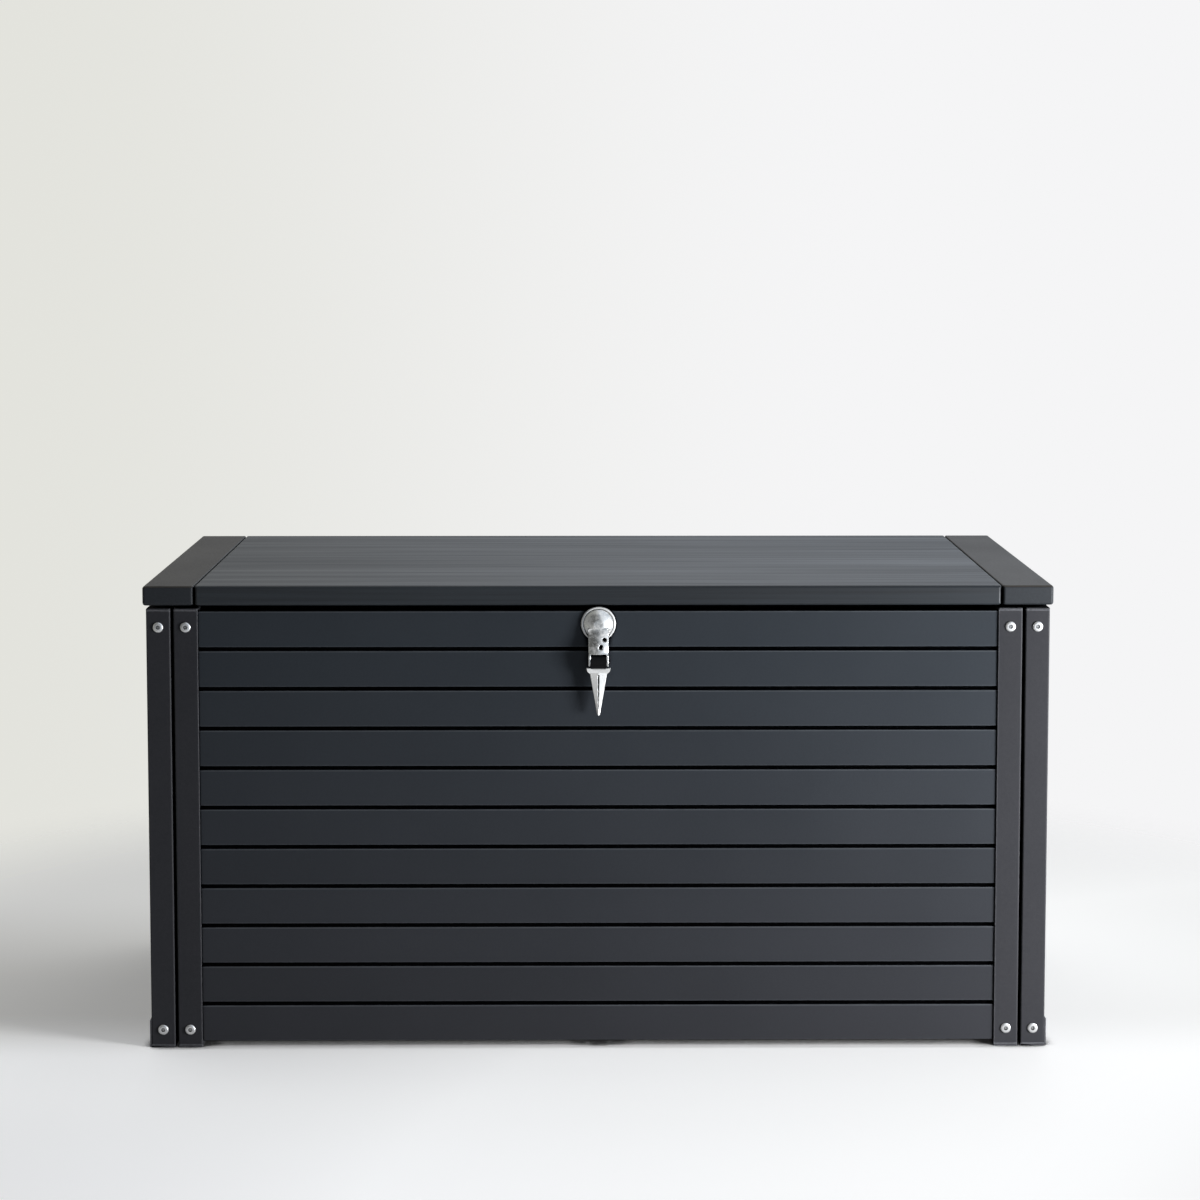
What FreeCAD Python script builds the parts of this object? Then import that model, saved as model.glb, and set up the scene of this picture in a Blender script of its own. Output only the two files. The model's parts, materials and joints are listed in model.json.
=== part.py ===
import FreeCAD, Part
import math
import os
import Sketcher

from FreeCAD import Placement, Rotation, Vector

# Garden storage chest: slatted walls between square corner posts, a flat hinged lid with two
# end pieces, a turning drop latch on the front and two gas struts behind the side walls.
# Frame: +X to the right, +Y to the back, +Z up, origin on the floor under the middle.

doc = FreeCAD.newDocument("garden_storage_chest")
sheet = doc.addObject("Spreadsheet::Sheet", "sizes")

size_table = {
    "overall": {
        "lid_width": 1200,
        "lid_depth": 600,
        "overall_height": 620,
        "lid_thickness": 26,
        "lid_air_gap": 4,
        "lid_overhang": 4,
        "centring_shift": 4.2,
    },
    "corner posts": {
        "post_size": 32,
        "post_wall": 1.6,
        "post_edge_radius": 2,
        "post_lip_radius": 0.9,
        "corner_gap": 4,
        "cap_thickness": 3,
        "cap_edge_radius": 1.4,
        "plug_depth": 12,
        "plug_play": 0.2,
        "foot_thickness": 3,
        "shoe_height": 38,
        "shoe_thickness": 2,
        "shoe_bevel": 1.5,
    },
    "slats": {
        "slat_count": 11,
        "slat_groove": 5,
        "slat_top_margin": 4,
        "slat_bottom_height": 8,
        "slat_thickness": 8,
        "slat_wall": 1.2,
        "slat_recess": 2.5,
        "slat_top_bevel": 1.5,
        "slat_bottom_bevel": 0.6,
        "slat_insert": 8,
        "slat_end_play": 1,
        "slat_face_play": 0.2,
        "slat_tongue": 2,
        "slat_overlap": 5,
    },
    "rails and floor": {
        "rail_depth": 20,
        "rail_wall": 1.5,
        "top_rail_height": 50,
        "bottom_rail_height": 42,
        "hinge_rail_height": 30,
        "batten_width": 30,
        "batten_wall": 2,
        "floor_thickness": 10,
        "floor_play": 0.3,
        "bearer_width": 40,
        "bearer_height": 20,
        "strip_width": 28,
        "strip_thickness": 2,
        "corner_bracket_leg": 40,
        "corner_bracket_thickness": 3,
        "corner_bracket_height": 34,
        "buffer_radius": 6,
        "buffer_play": 0.3,
        "buffer_inset": 116,
    },
    "screws": {
        "frame_screw_low": 24,
        "frame_screw_drop": 25,
        "frame_screw_head": 14,
        "frame_screw_rise": 2.6,
        "frame_screw_crown": 1.9,
        "frame_screw_shank": 6,
        "frame_screw_length": 46,
        "frame_screw_key": 5,
        "frame_screw_key_depth": 1.3,
        "screw_play": 0.1,
        "small_screw_shank": 4,
        "small_screw_cone": 1.7,
        "small_screw_length": 16,
        "small_screw_play": 0.1,
    },
    "lid": {
        "lid_end_width": 68,
        "lid_seam": 1.5,
        "lid_edge_radius": 3,
        "lid_end_wall": 2,
        "lid_tongue_length": 12,
        "lid_tongue_thickness": 10,
        "lid_tongue_setback": 20,
        "lid_tongue_play": 0.2,
        "lid_bar_end_inset": 31.25,
        "lid_bar_width": 30,
        "lid_bar_thickness": 6,
        "lid_bar_inset": 110,
        "lid_bar_screw_inset": 60,
        "lid_end_screw_edge": 80,
        "lid_end_screw_inset": 6.5,
    },
    "hinges": {
        "hinge_inset": 216,
        "hinge_width": 56,
        "hinge_reach": 50,
        "hinge_setback": 4.3,
        "hinge_leaf_play": 0.1,
        "hinge_knuckle": 8,
        "hinge_middle_knuckle": 18.4,
        "hinge_knuckle_gap": 0.3,
        "hinge_pin": 4,
        "hinge_pin_head": 6,
        "hinge_pin_head_rise": 1.2,
        "hinge_bore_play": 0.1,
        "hinge_corner_radius": 5,
        "hinge_screw_spread": 19,
        "hinge_screw_near": 25,
        "hinge_screw_far": 46,
    },
    "latch": {
        "latch_drop": 21,
        "rosette_radius": 23,
        "rosette_thickness": 4,
        "rosette_edge_radius": 1.8,
        "dome_radius": 20,
        "dome_rise": 9,
        "turning_play": 0.3,
        "spindle": 8,
        "spindle_play": 0.1,
        "pin_drop": 48,
        "pin_reach": 14.5,
        "pin_diameter": 4,
        "pin_head": 6.8,
        "pin_head_rise": 2.2,
        "neck_front_reach": 20.5,
        "neck_back_reach": 8.5,
        "neck_top": 5,
        "neck_step": 1,
        "neck_chin": 10,
        "neck_mouth_play": 0.8,
        "dimple_radius": 2.4,
        "dimple_floor": 15,
        "dimple_run": 10,
        "dimple_high_place": 7.7,
        "dimple_high_drop": 19,
        "dimple_low_place": 3.3,
        "dimple_low_drop": 28,
        "ear_radius": 7.5,
        "ear_thickness": 3,
        "ear_root": 1,
        "barrel_length": 20,
        "barrel_radius": 8.8,
        "barrel_flat": 7,
        "barrel_end_play": 0.3,
        "lever_collar_width": 32,
        "lever_collar_height": 4,
        "lever_collar_taper": 1,
        "lever_neck_width": 22,
        "lever_shoulder": 8,
        "lever_tip_width": 4,
        "lever_length": 61,
        "lever_thickness": 8,
        "lever_tip_thickness": 4,
        "lever_groove_width": 2,
        "lever_groove_depth": 1.2,
        "lever_groove_tip": 0.7,
        "lever_groove_start": 9,
        "lever_groove_end": 53,
        "cam_radius": 8,
        "cam_reach": 15,
        "cam_thickness": 3,
        "washer_thickness": 1.9,
        "washer_radius": 8,
        "nut_width": 13,
        "nut_thickness": 4,
        "keeper_width": 16,
        "keeper_screw_spread": 5,
        "keeper_place": 18,
        "keeper_thickness": 2.5,
        "keeper_flange": 24,
        "keeper_back_play": 1.5,
        "keeper_foot": 4,
        "keeper_foot_height": 4,
        "keeper_lift_play": 0.5,
    },
    "gas struts": {
        "strut_inset": 63,
        "strut_wall_drop": 220,
        "strut_lid_arm": 75,
        "strut_lid_drop": 12,
        "strut_eye_radius": 8,
        "strut_eye_thickness": 5,
        "strut_tab_width": 10,
        "strut_tab_overlap": 1,
        "strut_pin": 8,
        "strut_pin_play": 0.1,
        "strut_side_play": 0.3,
        "strut_tube_radius": 9,
        "strut_tube_wall": 1.5,
        "strut_stem_start": 9.5,
        "strut_rod_flat": 32,
        "strut_tube_start": 16,
        "strut_tube_length": 229,
        "strut_tube_end": 5,
        "strut_tube_taper": 2,
        "strut_tube_bevel": 1,
        "strut_rod_radius": 4,
        "strut_gland_play": 0.08,
        "strut_piston_start": 24,
        "strut_piston_length": 8,
        "strut_piston_play": 0.2,
        "strut_head_radius": 6,
        "strut_head_rise": 2,
        "strut_stud_radius": 7,
        "strut_plate_width": 28,
        "strut_plate_height": 52,
        "strut_plate_thickness": 3,
        "strut_plate_screw_pitch": 36,
        "strut_ear_width": 26,
        "strut_ear_thickness": 3,
        "strut_ear_radius": 8,
        "strut_flange_width": 30,
        "strut_flange_thickness": 2,
        "strut_flange_screw_pitch": 14,
    },
}


def fill_sheet():
    row = 0
    for heading, sizes in size_table.items():
        row += 1
        sheet.set("A%d" % row, heading)
        for alias, number in sizes.items():
            row += 1
            sheet.set("A%d" % row, alias.replace("_", " "))
            sheet.set("B%d" % row, str(number))
            sheet.setAlias("B%d" % row, alias)
    doc.recompute()


fill_sheet()


def value(expression):
    """The number that a sheet expression stands for."""
    result = sheet.evalExpression(expression)
    return float(getattr(result, "Value", result))


def size(alias):
    return "sizes." + alias


# Places that several pieces share, as sheet expressions.

half_width = "(sizes.lid_width / 2 - sizes.lid_overhang)"
front_face = "(sizes.lid_overhang - sizes.lid_depth / 2)"
back_face = "(sizes.lid_depth / 2)"
lid_bottom = "(sizes.overall_height - sizes.lid_thickness)"
body_top = "(%s - sizes.lid_air_gap)" % lid_bottom
half_post = "(sizes.post_size / 2)"
post_low = "(0 - sizes.post_size / 2)"
leg_centre = "(%s - %s)" % (half_width, half_post)
stile_centre = "(%s - sizes.post_size - sizes.corner_gap)" % leg_centre
stile_inner = "(%s - %s)" % (stile_centre, half_post)
front_post = "(%s + %s)" % (front_face, half_post)
back_post = "(%s - %s)" % (back_face, half_post)
front_rail_face = "(%s + sizes.post_size)" % front_face
back_rail_face = "(%s - sizes.post_size)" % back_face
wall_middle = "((%s + %s) / 2)" % (front_face, back_face)
slat_inner = "(sizes.slat_recess + sizes.slat_thickness)"
batten_depth = "(sizes.post_size - %s)" % slat_inner
slat_pitch = "((%s - sizes.slat_top_margin - sizes.slat_bottom_height + sizes.slat_groove)" % body_top
slat_pitch += " / sizes.slat_count)"
slat_face = "(%s - sizes.slat_groove)" % slat_pitch
slats_top = "(%s - sizes.slat_top_margin)" % body_top
front_slat_length = "(2 * (%s + sizes.slat_insert))" % stile_inner
side_slat_length = "(%s - %s + 2 * sizes.slat_insert)" % (back_rail_face, front_rail_face)
top_rail_bottom = "(%s - sizes.top_rail_height)" % body_top
floor_level = "(sizes.foot_thickness + sizes.bottom_rail_height)"
side_rail_inner = "(%s - sizes.post_size - sizes.rail_depth)" % half_width
front_rail_inner = "(%s + sizes.rail_depth)" % front_rail_face
back_rail_inner = "(%s - sizes.rail_depth)" % back_rail_face
channel_lip = "(sizes.slat_recess - sizes.slat_face_play)"
channel_width = "(sizes.slat_thickness + 2 * sizes.slat_face_play)"
channel_depth = "(sizes.slat_insert + sizes.slat_end_play)"
plug_inset = "(%s - sizes.post_wall - sizes.plug_play)" % half_post
plug_low = "(%s + %s + %s + sizes.post_wall + sizes.plug_play)" % (post_low, channel_lip, channel_width)
frame_screw_top = "(%s - sizes.frame_screw_drop)" % body_top
frame_screw_hole = "(sizes.frame_screw_shank / 2 + sizes.screw_play)"
small_screw_hole = "((sizes.small_screw_shank + sizes.small_screw_play) / 2)"
panel_half = "(sizes.lid_width / 2 - sizes.lid_end_width - sizes.lid_seam / 2)"
hinge_line = "(%s + sizes.hinge_setback)" % back_face
hinge_height = "(%s + sizes.lid_air_gap / 2)" % body_top
leaf_thickness = "(sizes.lid_air_gap / 2 - sizes.hinge_leaf_play)"
latch_height = "(%s - sizes.latch_drop)" % body_top
slat_plane = "(%s + sizes.slat_recess)" % front_face
slat_to_cam = "(%s - %s" % (front_rail_inner, slat_plane)
slat_to_cam += " + sizes.washer_thickness + sizes.spindle_play)"
spindle_hole = "(sizes.spindle / 2 + sizes.spindle_play)"
spindle_fit = "((sizes.spindle + sizes.spindle_play) / 2)"
strut_plane = "(%s - sizes.strut_inset)" % half_width
strut_wall_height = "(%s - sizes.strut_wall_drop)" % hinge_height
strut_lid_place = "(%s - sizes.strut_lid_arm)" % hinge_line
strut_lid_height = "(%s - sizes.strut_lid_drop)" % hinge_height
strut_run = "(%s - %s)" % (strut_lid_place, wall_middle)
strut_rise = "(%s - %s)" % (strut_lid_height, strut_wall_height)
strut_span = "sqrt(%s * %s + %s * %s)" % (strut_run, strut_run, strut_rise, strut_rise)
strut_tilt = "(-1 * atan(%s / %s))" % (strut_run, strut_rise)
strut_eye_half = "(sizes.strut_eye_thickness / 2 + sizes.strut_side_play)"
strut_eye_inner = "(%s - %s)" % (strut_plane, strut_eye_half)
strut_eye_outer = "(%s + %s)" % (strut_plane, strut_eye_half)

sides = (-1, 1)
fit_limit = 0.01
nodes = []


# Helpers for bodies, sketches and features.

def keep(item, label):
    """Name a finished piece and put it on the list of pieces to write."""
    item.Label = label
    nodes.append(item)
    return item


def new_body(name):
    body = doc.addObject("PartDesign::Body", name)
    body.Label = name
    return body


def set_place(item, x="0", y="0", z="0", turn="0", axis=(0, 0, 1), prefix="Placement"):
    """Bind a place to the sheet. The chest as a whole is moved by the centring shift."""
    setattr(item, prefix, Placement(Vector(), Rotation(Vector(*axis), value(turn))))
    item.setExpression(prefix + ".Base.x", x)
    item.setExpression(prefix + ".Base.y", "%s + sizes.centring_shift" % y)
    item.setExpression(prefix + ".Base.z", z)
    if "sizes" in turn:
        item.setExpression(prefix + ".Rotation.Angle", turn)


def origin_plane(body, role):
    for feature in body.Origin.OriginFeatures:
        if feature.Role == role:
            return feature
    raise ValueError(role)


def new_sketch(body, role, lift="0"):
    sketch = body.newObject("Sketcher::SketchObject", body.Name + "_sketch")
    sketch.AttachmentSupport = [(origin_plane(body, role), "")]
    sketch.MapMode = "FlatFace"
    if lift != "0":
        sketch.setExpression("AttachmentOffset.Base.z", lift)
    return sketch


def arc_middle(start, end, radius, side):
    """Middle point of an arc that bulges to the left (1) or right (-1) of the way it goes."""
    chord = end - start
    half = chord.Length / 2
    rise = radius - math.sqrt(max(radius * radius - half * half, 0))
    normal = Vector(-chord.y, chord.x, 0).normalize()
    return (start + end) * 0.5 + normal * rise * side


def outline(sketch, points, arcs=None):
    """A closed outline through points given as pairs of expressions.

    arcs gives, for the edge that leaves a point, the radius and the side it bulges to.
    Without a radius the edge is a half circle.
    """
    arcs = arcs or {}
    spots = [Vector(value(u), value(v), 0) for u, v in points]
    ends = []
    for index, spot in enumerate(spots):
        following = spots[(index + 1) % len(spots)]
        if index in arcs:
            radius, side = arcs[index]
            reach = value(radius) if radius else (following - spot).Length / 2
            middle = arc_middle(spot, following, reach, side)
            edge = sketch.addGeometry(Part.Arc(spot, middle, following))
            gaps = [(sketch.getPoint(edge, end) - spot).Length for end in (1, 2)]
            forward = gaps[0] < gaps[1]
            ends.append((edge, 1, 2) if forward else (edge, 2, 1))
            if radius:
                rule = Sketcher.Constraint("Radius", edge, reach)
                expression = radius
            else:
                upright = abs(following.x - spot.x) > abs(following.y - spot.y)
                axis = 1 if upright else 0
                target = points[(index + 1) % len(points)]
                expression = "(%s + %s) / 2" % (points[index][axis], target[axis])
                kind = "DistanceY" if upright else "DistanceX"
                rule = Sketcher.Constraint(kind, -1, 1, edge, 3, value(expression))
            constraint = sketch.addConstraint(rule)
            sketch.setExpression("Constraints[%d]" % constraint, expression)
        else:
            edge = sketch.addGeometry(Part.LineSegment(spot, following))
            ends.append((edge, 1, 2))
    for index, (edge, start, end) in enumerate(ends):
        following = ends[(index + 1) % len(ends)]
        sketch.addConstraint(Sketcher.Constraint("Coincident", edge, end, following[0], following[1]))
    for (edge, start, end), spot, (u, v) in zip(ends, spots, points):
        for kind, expression, number in (("DistanceX", u, spot.x), ("DistanceY", v, spot.y)):
            constraint = sketch.addConstraint(Sketcher.Constraint(kind, -1, 1, edge, start, number))
            sketch.setExpression("Constraints[%d]" % constraint, expression)


def rectangle(sketch, left, low, right, high):
    outline(sketch, [(left, low), (right, low), (right, high), (left, high)])


def circle(sketch, across, up, radius):
    centre = Vector(value(across), value(up), 0)
    ring = sketch.addGeometry(Part.Circle(centre, Vector(0, 0, 1), value(radius)))
    rules = (
        (Sketcher.Constraint("Radius", ring, value(radius)), radius),
        (Sketcher.Constraint("DistanceX", -1, 1, ring, 3, centre.x), across),
        (Sketcher.Constraint("DistanceY", -1, 1, ring, 3, centre.y), up),
    )
    for rule, expression in rules:
        constraint = sketch.addConstraint(rule)
        sketch.setExpression("Constraints[%d]" % constraint, expression)


def hexagon(sketch, across_flats):
    corner = "(%s / 2 / cos(30 deg))" % across_flats
    points = []
    for angle in range(0, 360, 60):
        points.append(("%s * cos(%d deg)" % (corner, angle), "%s * sin(%d deg)" % (corner, angle)))
    outline(sketch, points)


def pad(body, sketch, length, both=False, back=False):
    feature = body.newObject("PartDesign::Pad", body.Name + "_pad")
    feature.Profile = sketch
    feature.Length = value(length)
    feature.setExpression("Length", length)
    feature.SideType = "Symmetric" if both else "One side"
    feature.Reversed = back
    body.Tip = feature
    return feature


def pocket(body, sketch, depth=None, both=False, back=False):
    """Cut against the sketch's normal, along it with back, or right through without a depth."""
    feature = body.newObject("PartDesign::Pocket", body.Name + "_pocket")
    feature.Profile = sketch
    feature.SideType = "Symmetric" if both else "One side"
    if depth is None:
        feature.Type = "ThroughAll"
    else:
        feature.Length = value(depth)
        feature.setExpression("Length", depth)
    feature.Reversed = back
    body.Tip = feature
    return feature


def revolve(body, sketch):
    """Turn a sketch about its own upright axis."""
    feature = body.newObject("PartDesign::Revolution", body.Name + "_turned")
    feature.Profile = sketch
    feature.ReferenceAxis = (sketch, ["V_Axis"])
    feature.Angle = 360
    body.Tip = feature
    return feature


def edge_names(body, test):
    doc.recompute()
    return ["Edge%d" % (n + 1) for n, edge in enumerate(body.Tip.Shape.Edges) if test(edge)]


def soften(body, test, radius, kind="Fillet"):
    """Round or chamfer the edges that pass the test."""
    names = edge_names(body, test)
    base = body.Tip
    feature = body.newObject("PartDesign::" + kind, body.Name + "_" + kind.lower())
    feature.Base = (base, names)
    measure = "Radius" if kind == "Fillet" else "Size"
    setattr(feature, measure, value(radius))
    feature.setExpression(measure, radius)
    body.Tip = feature
    return feature


def near(number, expression):
    return abs(number - value(expression)) < fit_limit


def straight_along(edge, direction):
    if edge.Degenerated or not isinstance(edge.Curve, Part.Line):
        return False
    return abs(abs(edge.Curve.Direction.dot(Vector(*direction))) - 1) < 0.001


def round_edge(edge, radius):
    if edge.Degenerated or not isinstance(edge.Curve, Part.Circle):
        return False
    return near(edge.Curve.Radius, radius)


def group(label, parts):
    """Several solids that share one node."""
    compound = doc.addObject("Part::Compound", label)
    compound.Links = parts
    return keep(compound, label)


def linked(label, pairs):
    """One node of links, each to a body and with a place of its own."""
    links = []
    for number, (source, place) in enumerate(pairs, start=1):
        link = doc.addObject("App::Link", "%s_%d" % (label, number))
        link.LinkedObject = source
        set_place(link, prefix="LinkPlacement", **place)
        links.append(link)
    return group(label, links)


def copies(label, source, places):
    """Identical pieces in one node."""
    return linked(label, [(source, place) for place in places])


# Corner posts. A leg and a stile share one section: a square tube whose inner side has an
# upright channel, close behind the outer face, that takes the slats' ends.

def make_post(label, flip, turn, x, y, screw_role):
    """flip mirrors the channel side, turn is the angle that faces the post the right way."""
    body = new_body(label)
    low = post_low
    wall = size("post_wall")
    lip_end = "(%s + %s)" % (low, channel_lip)
    slot_end = "(%s + %s)" % (lip_end, channel_width)
    slot_floor = "(%s - %s)" % (half_post, channel_depth)
    outer = [(low, low), (half_post, low), (half_post, lip_end), (slot_floor, lip_end),
             (slot_floor, slot_end), (half_post, slot_end), (half_post, half_post), (low, half_post)]
    inner_low = "(%s + %s)" % (low, wall)
    inner_high = "(%s - %s)" % (half_post, wall)
    step_x = "(%s - %s)" % (slot_floor, wall)
    step_y = "(%s + %s)" % (slot_end, wall)
    inner = [(inner_low, inner_low), (step_x, inner_low), (step_x, step_y),
             (inner_high, step_y), (inner_high, inner_high), (inner_low, inner_high)]
    sketch = new_sketch(body, "XY_Plane")
    outline(sketch, [("%d * %s" % (flip, u), v) for u, v in outer])
    outline(sketch, [("%d * %s" % (flip, u), v) for u, v in inner])
    pad(body, sketch, "%s - sizes.cap_thickness - sizes.foot_thickness" % body_top)

    def outer_corner(edge):
        if not straight_along(edge, (0, 0, 1)):
            return False
        spot = edge.Vertexes[0].Point
        corner = near(abs(spot.x), half_post) and near(abs(spot.y), half_post)
        return corner and not (spot.x * flip > 0 > spot.y)

    def lip_corner(edge):
        spot = edge.Vertexes[0].Point
        on_lip = near(spot.x * flip, half_post) and near(spot.y, low)
        return straight_along(edge, (0, 0, 1)) and on_lip

    soften(body, outer_corner, size("post_edge_radius"))
    soften(body, lip_corner, size("post_lip_radius"))
    holes = new_sketch(body, screw_role)
    for level in (size("frame_screw_low"), frame_screw_top):
        circle(holes, "0", "%s - sizes.foot_thickness" % level, frame_screw_hole)
    pocket(body, holes, both=True)
    set_place(body, x, y, size("foot_thickness"), str(turn))
    return body


def make_foot(name, flip, turn, x, y, shoe):
    """A plate under a post, with a plug in the tube and a peg that carries the slats' ends."""
    body = new_body(name)
    low = post_low
    plate = new_sketch(body, "XY_Plane")
    rectangle(plate, low, low, half_post, half_post)
    pad(body, plate, size("foot_thickness"))

    def plate_corner(edge):
        return straight_along(edge, (0, 0, 1))

    soften(body, plate_corner, size("post_lip_radius"))
    plug = new_sketch(body, "XY_Plane", size("foot_thickness"))
    rectangle(plug, "(0 - %s)" % plug_inset, plug_low, plug_inset, plug_inset)
    pad(body, plug, size("plug_depth"))
    peg = new_sketch(body, "XY_Plane", size("foot_thickness"))
    peg_start = "%d * (%s - %s + sizes.plug_play)" % (flip, half_post, channel_depth)
    peg_end = "%d * %s" % (flip, half_post)
    peg_low = "(%s + %s + sizes.plug_play)" % (low, channel_lip)
    peg_high = "(%s + %s - 2 * sizes.plug_play)" % (peg_low, channel_width)
    rectangle(peg, peg_start, peg_low, peg_end, peg_high)
    pad(body, peg, "sizes.slat_bottom_height - sizes.foot_thickness")
    if shoe:
        cheek = new_sketch(body, "XY_Plane")
        rectangle(cheek, low, "(%s - sizes.shoe_thickness)" % low, half_post, low)
        pad(body, cheek, size("shoe_height"))

        def shoe_rim(edge):
            spots = [vertex.Point for vertex in edge.Vertexes]
            outside = all(near(spot.y, "%s - sizes.shoe_thickness" % low) for spot in spots)
            at_end = all(near(spot.z, "0") for spot in spots)
            at_top = all(near(spot.z, size("shoe_height")) for spot in spots)
            return outside and (at_end or at_top)

        soften(body, shoe_rim, size("shoe_bevel"), "Chamfer")
    set_place(body, x, y, "0", str(turn))
    return body


minus_leg = "(0 - %s)" % leg_centre
minus_stile = "(0 - %s)" % stile_centre

leg_places = {
    "front_left_leg": (-1, 270, minus_leg, front_post),
    "front_right_leg": (1, 90, leg_centre, front_post),
    "back_left_leg": (1, 270, minus_leg, back_post),
    "back_right_leg": (-1, 90, leg_centre, back_post),
}
stile_places = {
    "front_left_stile": (1, 0, minus_stile, front_post),
    "front_right_stile": (-1, 0, stile_centre, front_post),
    "back_left_stile": (-1, 180, minus_stile, back_post),
    "back_right_stile": (1, 180, stile_centre, back_post),
}


def make_posts():
    feet = {"leg_feet": [], "stile_feet": []}
    for places, kind, role, shoe in ((leg_places, "leg_feet", "YZ_Plane", True),
                                     (stile_places, "stile_feet", "XZ_Plane", False)):
        for label, (flip, turn, x, y) in places.items():
            keep(make_post(label, flip, turn, x, y, role), label)
            feet[kind].append(make_foot(label + "_foot", flip, turn, x, y, shoe))
    for label, bodies in feet.items():
        group(label, bodies)


def make_caps():
    body = new_body("post_cap")
    plate = new_sketch(body, "XY_Plane")
    rectangle(plate, post_low, post_low, half_post, half_post)
    pad(body, plate, size("cap_thickness"))

    def upright_edge(edge):
        return straight_along(edge, (0, 0, 1))

    def top_edge(edge):
        return all(near(vertex.Z, size("cap_thickness")) for vertex in edge.Vertexes)

    soften(body, upright_edge, size("post_edge_radius"))
    soften(body, top_edge, size("cap_edge_radius"))
    plug = new_sketch(body, "XY_Plane")
    rectangle(plug, "(0 - %s)" % plug_inset, plug_low, plug_inset, plug_inset)
    pad(body, plug, size("plug_depth"), back=True)
    places = []
    for flip, turn, x, y in list(leg_places.values()) + list(stile_places.values()):
        places.append({"x": x, "y": y, "z": "%s - sizes.cap_thickness" % body_top, "turn": str(turn)})
    copies("post_caps", body, places)


# Slats. Every slat is a hollow section with a tongue at its inner top edge, which stands in
# the rebate of the slat above and closes the groove between the two faces.

def make_slat(name, length, top=False):
    body = new_body(name)
    thick = size("slat_thickness")
    wall = size("slat_wall")
    rebate = "(%s - sizes.slat_tongue - sizes.slat_face_play)" % thick
    overlap = size("slat_overlap")
    bevel = size("slat_top_bevel")
    foot = size("slat_bottom_bevel")
    tongue_top = "(%s + sizes.slat_groove + %s)" % (slat_face, overlap)
    points = [("0", foot), (foot, "0"), (rebate, "0"), (rebate, overlap), (thick, overlap)]
    if top:
        points += [(thick, slat_face)]
    else:
        tongue = "(%s - sizes.slat_tongue)" % thick
        points += [(thick, tongue_top), (tongue, tongue_top), (tongue, slat_face)]
    points += [(bevel, slat_face), ("0", "(%s - %s)" % (slat_face, bevel))]
    inner_back = "(%s - %s)" % (thick, wall)
    inner_top = "(%s - %s - %s)" % (slat_face, bevel, wall)
    step = "(%s + %s)" % (overlap, wall)
    inner_step = "(%s - %s)" % (rebate, wall)
    sketch = new_sketch(body, "YZ_Plane")
    outline(sketch, points)
    outline(sketch, [(wall, wall), (inner_step, wall), (inner_step, step), (inner_back, step),
                     (inner_back, inner_top), (wall, inner_top)])
    pad(body, sketch, length, both=True)
    return body


def slat_level(number):
    return "(sizes.slat_bottom_height + %d * %s)" % (number, slat_pitch)


def make_slats():
    count = int(value(size("slat_count")))
    for number in range(count):
        label = "front_slat_%02d" % (number + 1)
        body = make_slat(label, front_slat_length, top=number == count - 1)
        if number == count - 1:
            bore = new_sketch(body, "XZ_Plane")
            circle(bore, "0", "%s - %s" % (latch_height, slat_level(number)), spindle_hole)
            pocket(body, bore, both=True)
        set_place(body, "0", slat_plane, slat_level(number))
        keep(body, label)
    back_outer = "(%s - sizes.slat_recess)" % back_face
    side_outer = "(%s - sizes.slat_recess)" % half_width
    walls = (
        ("back_slats", front_slat_length, "0", back_outer, "180"),
        ("left_slats", side_slat_length, "(0 - %s)" % side_outer, wall_middle, "270"),
        ("right_slats", side_slat_length, side_outer, wall_middle, "90"),
    )
    for label, length, x, y, turn in walls:
        lower = make_slat(label + "_lower", length)
        upper = make_slat(label + "_upper", length, top=True)
        pairs = []
        for number in range(count):
            source = upper if number == count - 1 else lower
            pairs.append((source, {"x": x, "y": y, "z": slat_level(number), "turn": turn}))
        linked(label, pairs)


# Rails, battens and the floor.

def make_tube(name, depth, height, wall, length, role="YZ_Plane"):
    """A hollow bar from 0 to depth and 0 to height, centred along its length."""
    body = new_body(name)
    sketch = new_sketch(body, role)
    rectangle(sketch, "0", "0", depth, height)
    rectangle(sketch, wall, wall, "(%s - %s)" % (depth, wall), "(%s - %s)" % (height, wall))
    pad(body, sketch, length, both=True)
    return body


def drill_outer_wall(body, height):
    """Screw holes where the legs and stiles are screwed to a rail."""
    sketch = new_sketch(body, "XZ_Plane")
    for centre in (leg_centre, stile_centre, minus_leg, minus_stile):
        circle(sketch, centre, height, frame_screw_hole)
    pocket(body, sketch, "2 * sizes.rail_wall", both=True)


def drill_for_hinges(body, depth_place, across):
    """Holes in a rail's top wall for the hinge screws."""
    top = size("top_rail_height") if across == "0" else size("hinge_rail_height")
    sketch = new_sketch(body, "XY_Plane", top)
    for middle in hinge_middles:
        for side in ((1,) if across == "0" else sides):
            circle(sketch, "%s + %d * %s" % (middle, side, across), depth_place, small_screw_hole)
    pocket(body, sketch, "2 * sizes.rail_wall")


hinge_place = "(%s - sizes.hinge_inset)" % half_width
hinge_middles = ("(0 - %s)" % hinge_place, "0", hinge_place)


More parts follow.
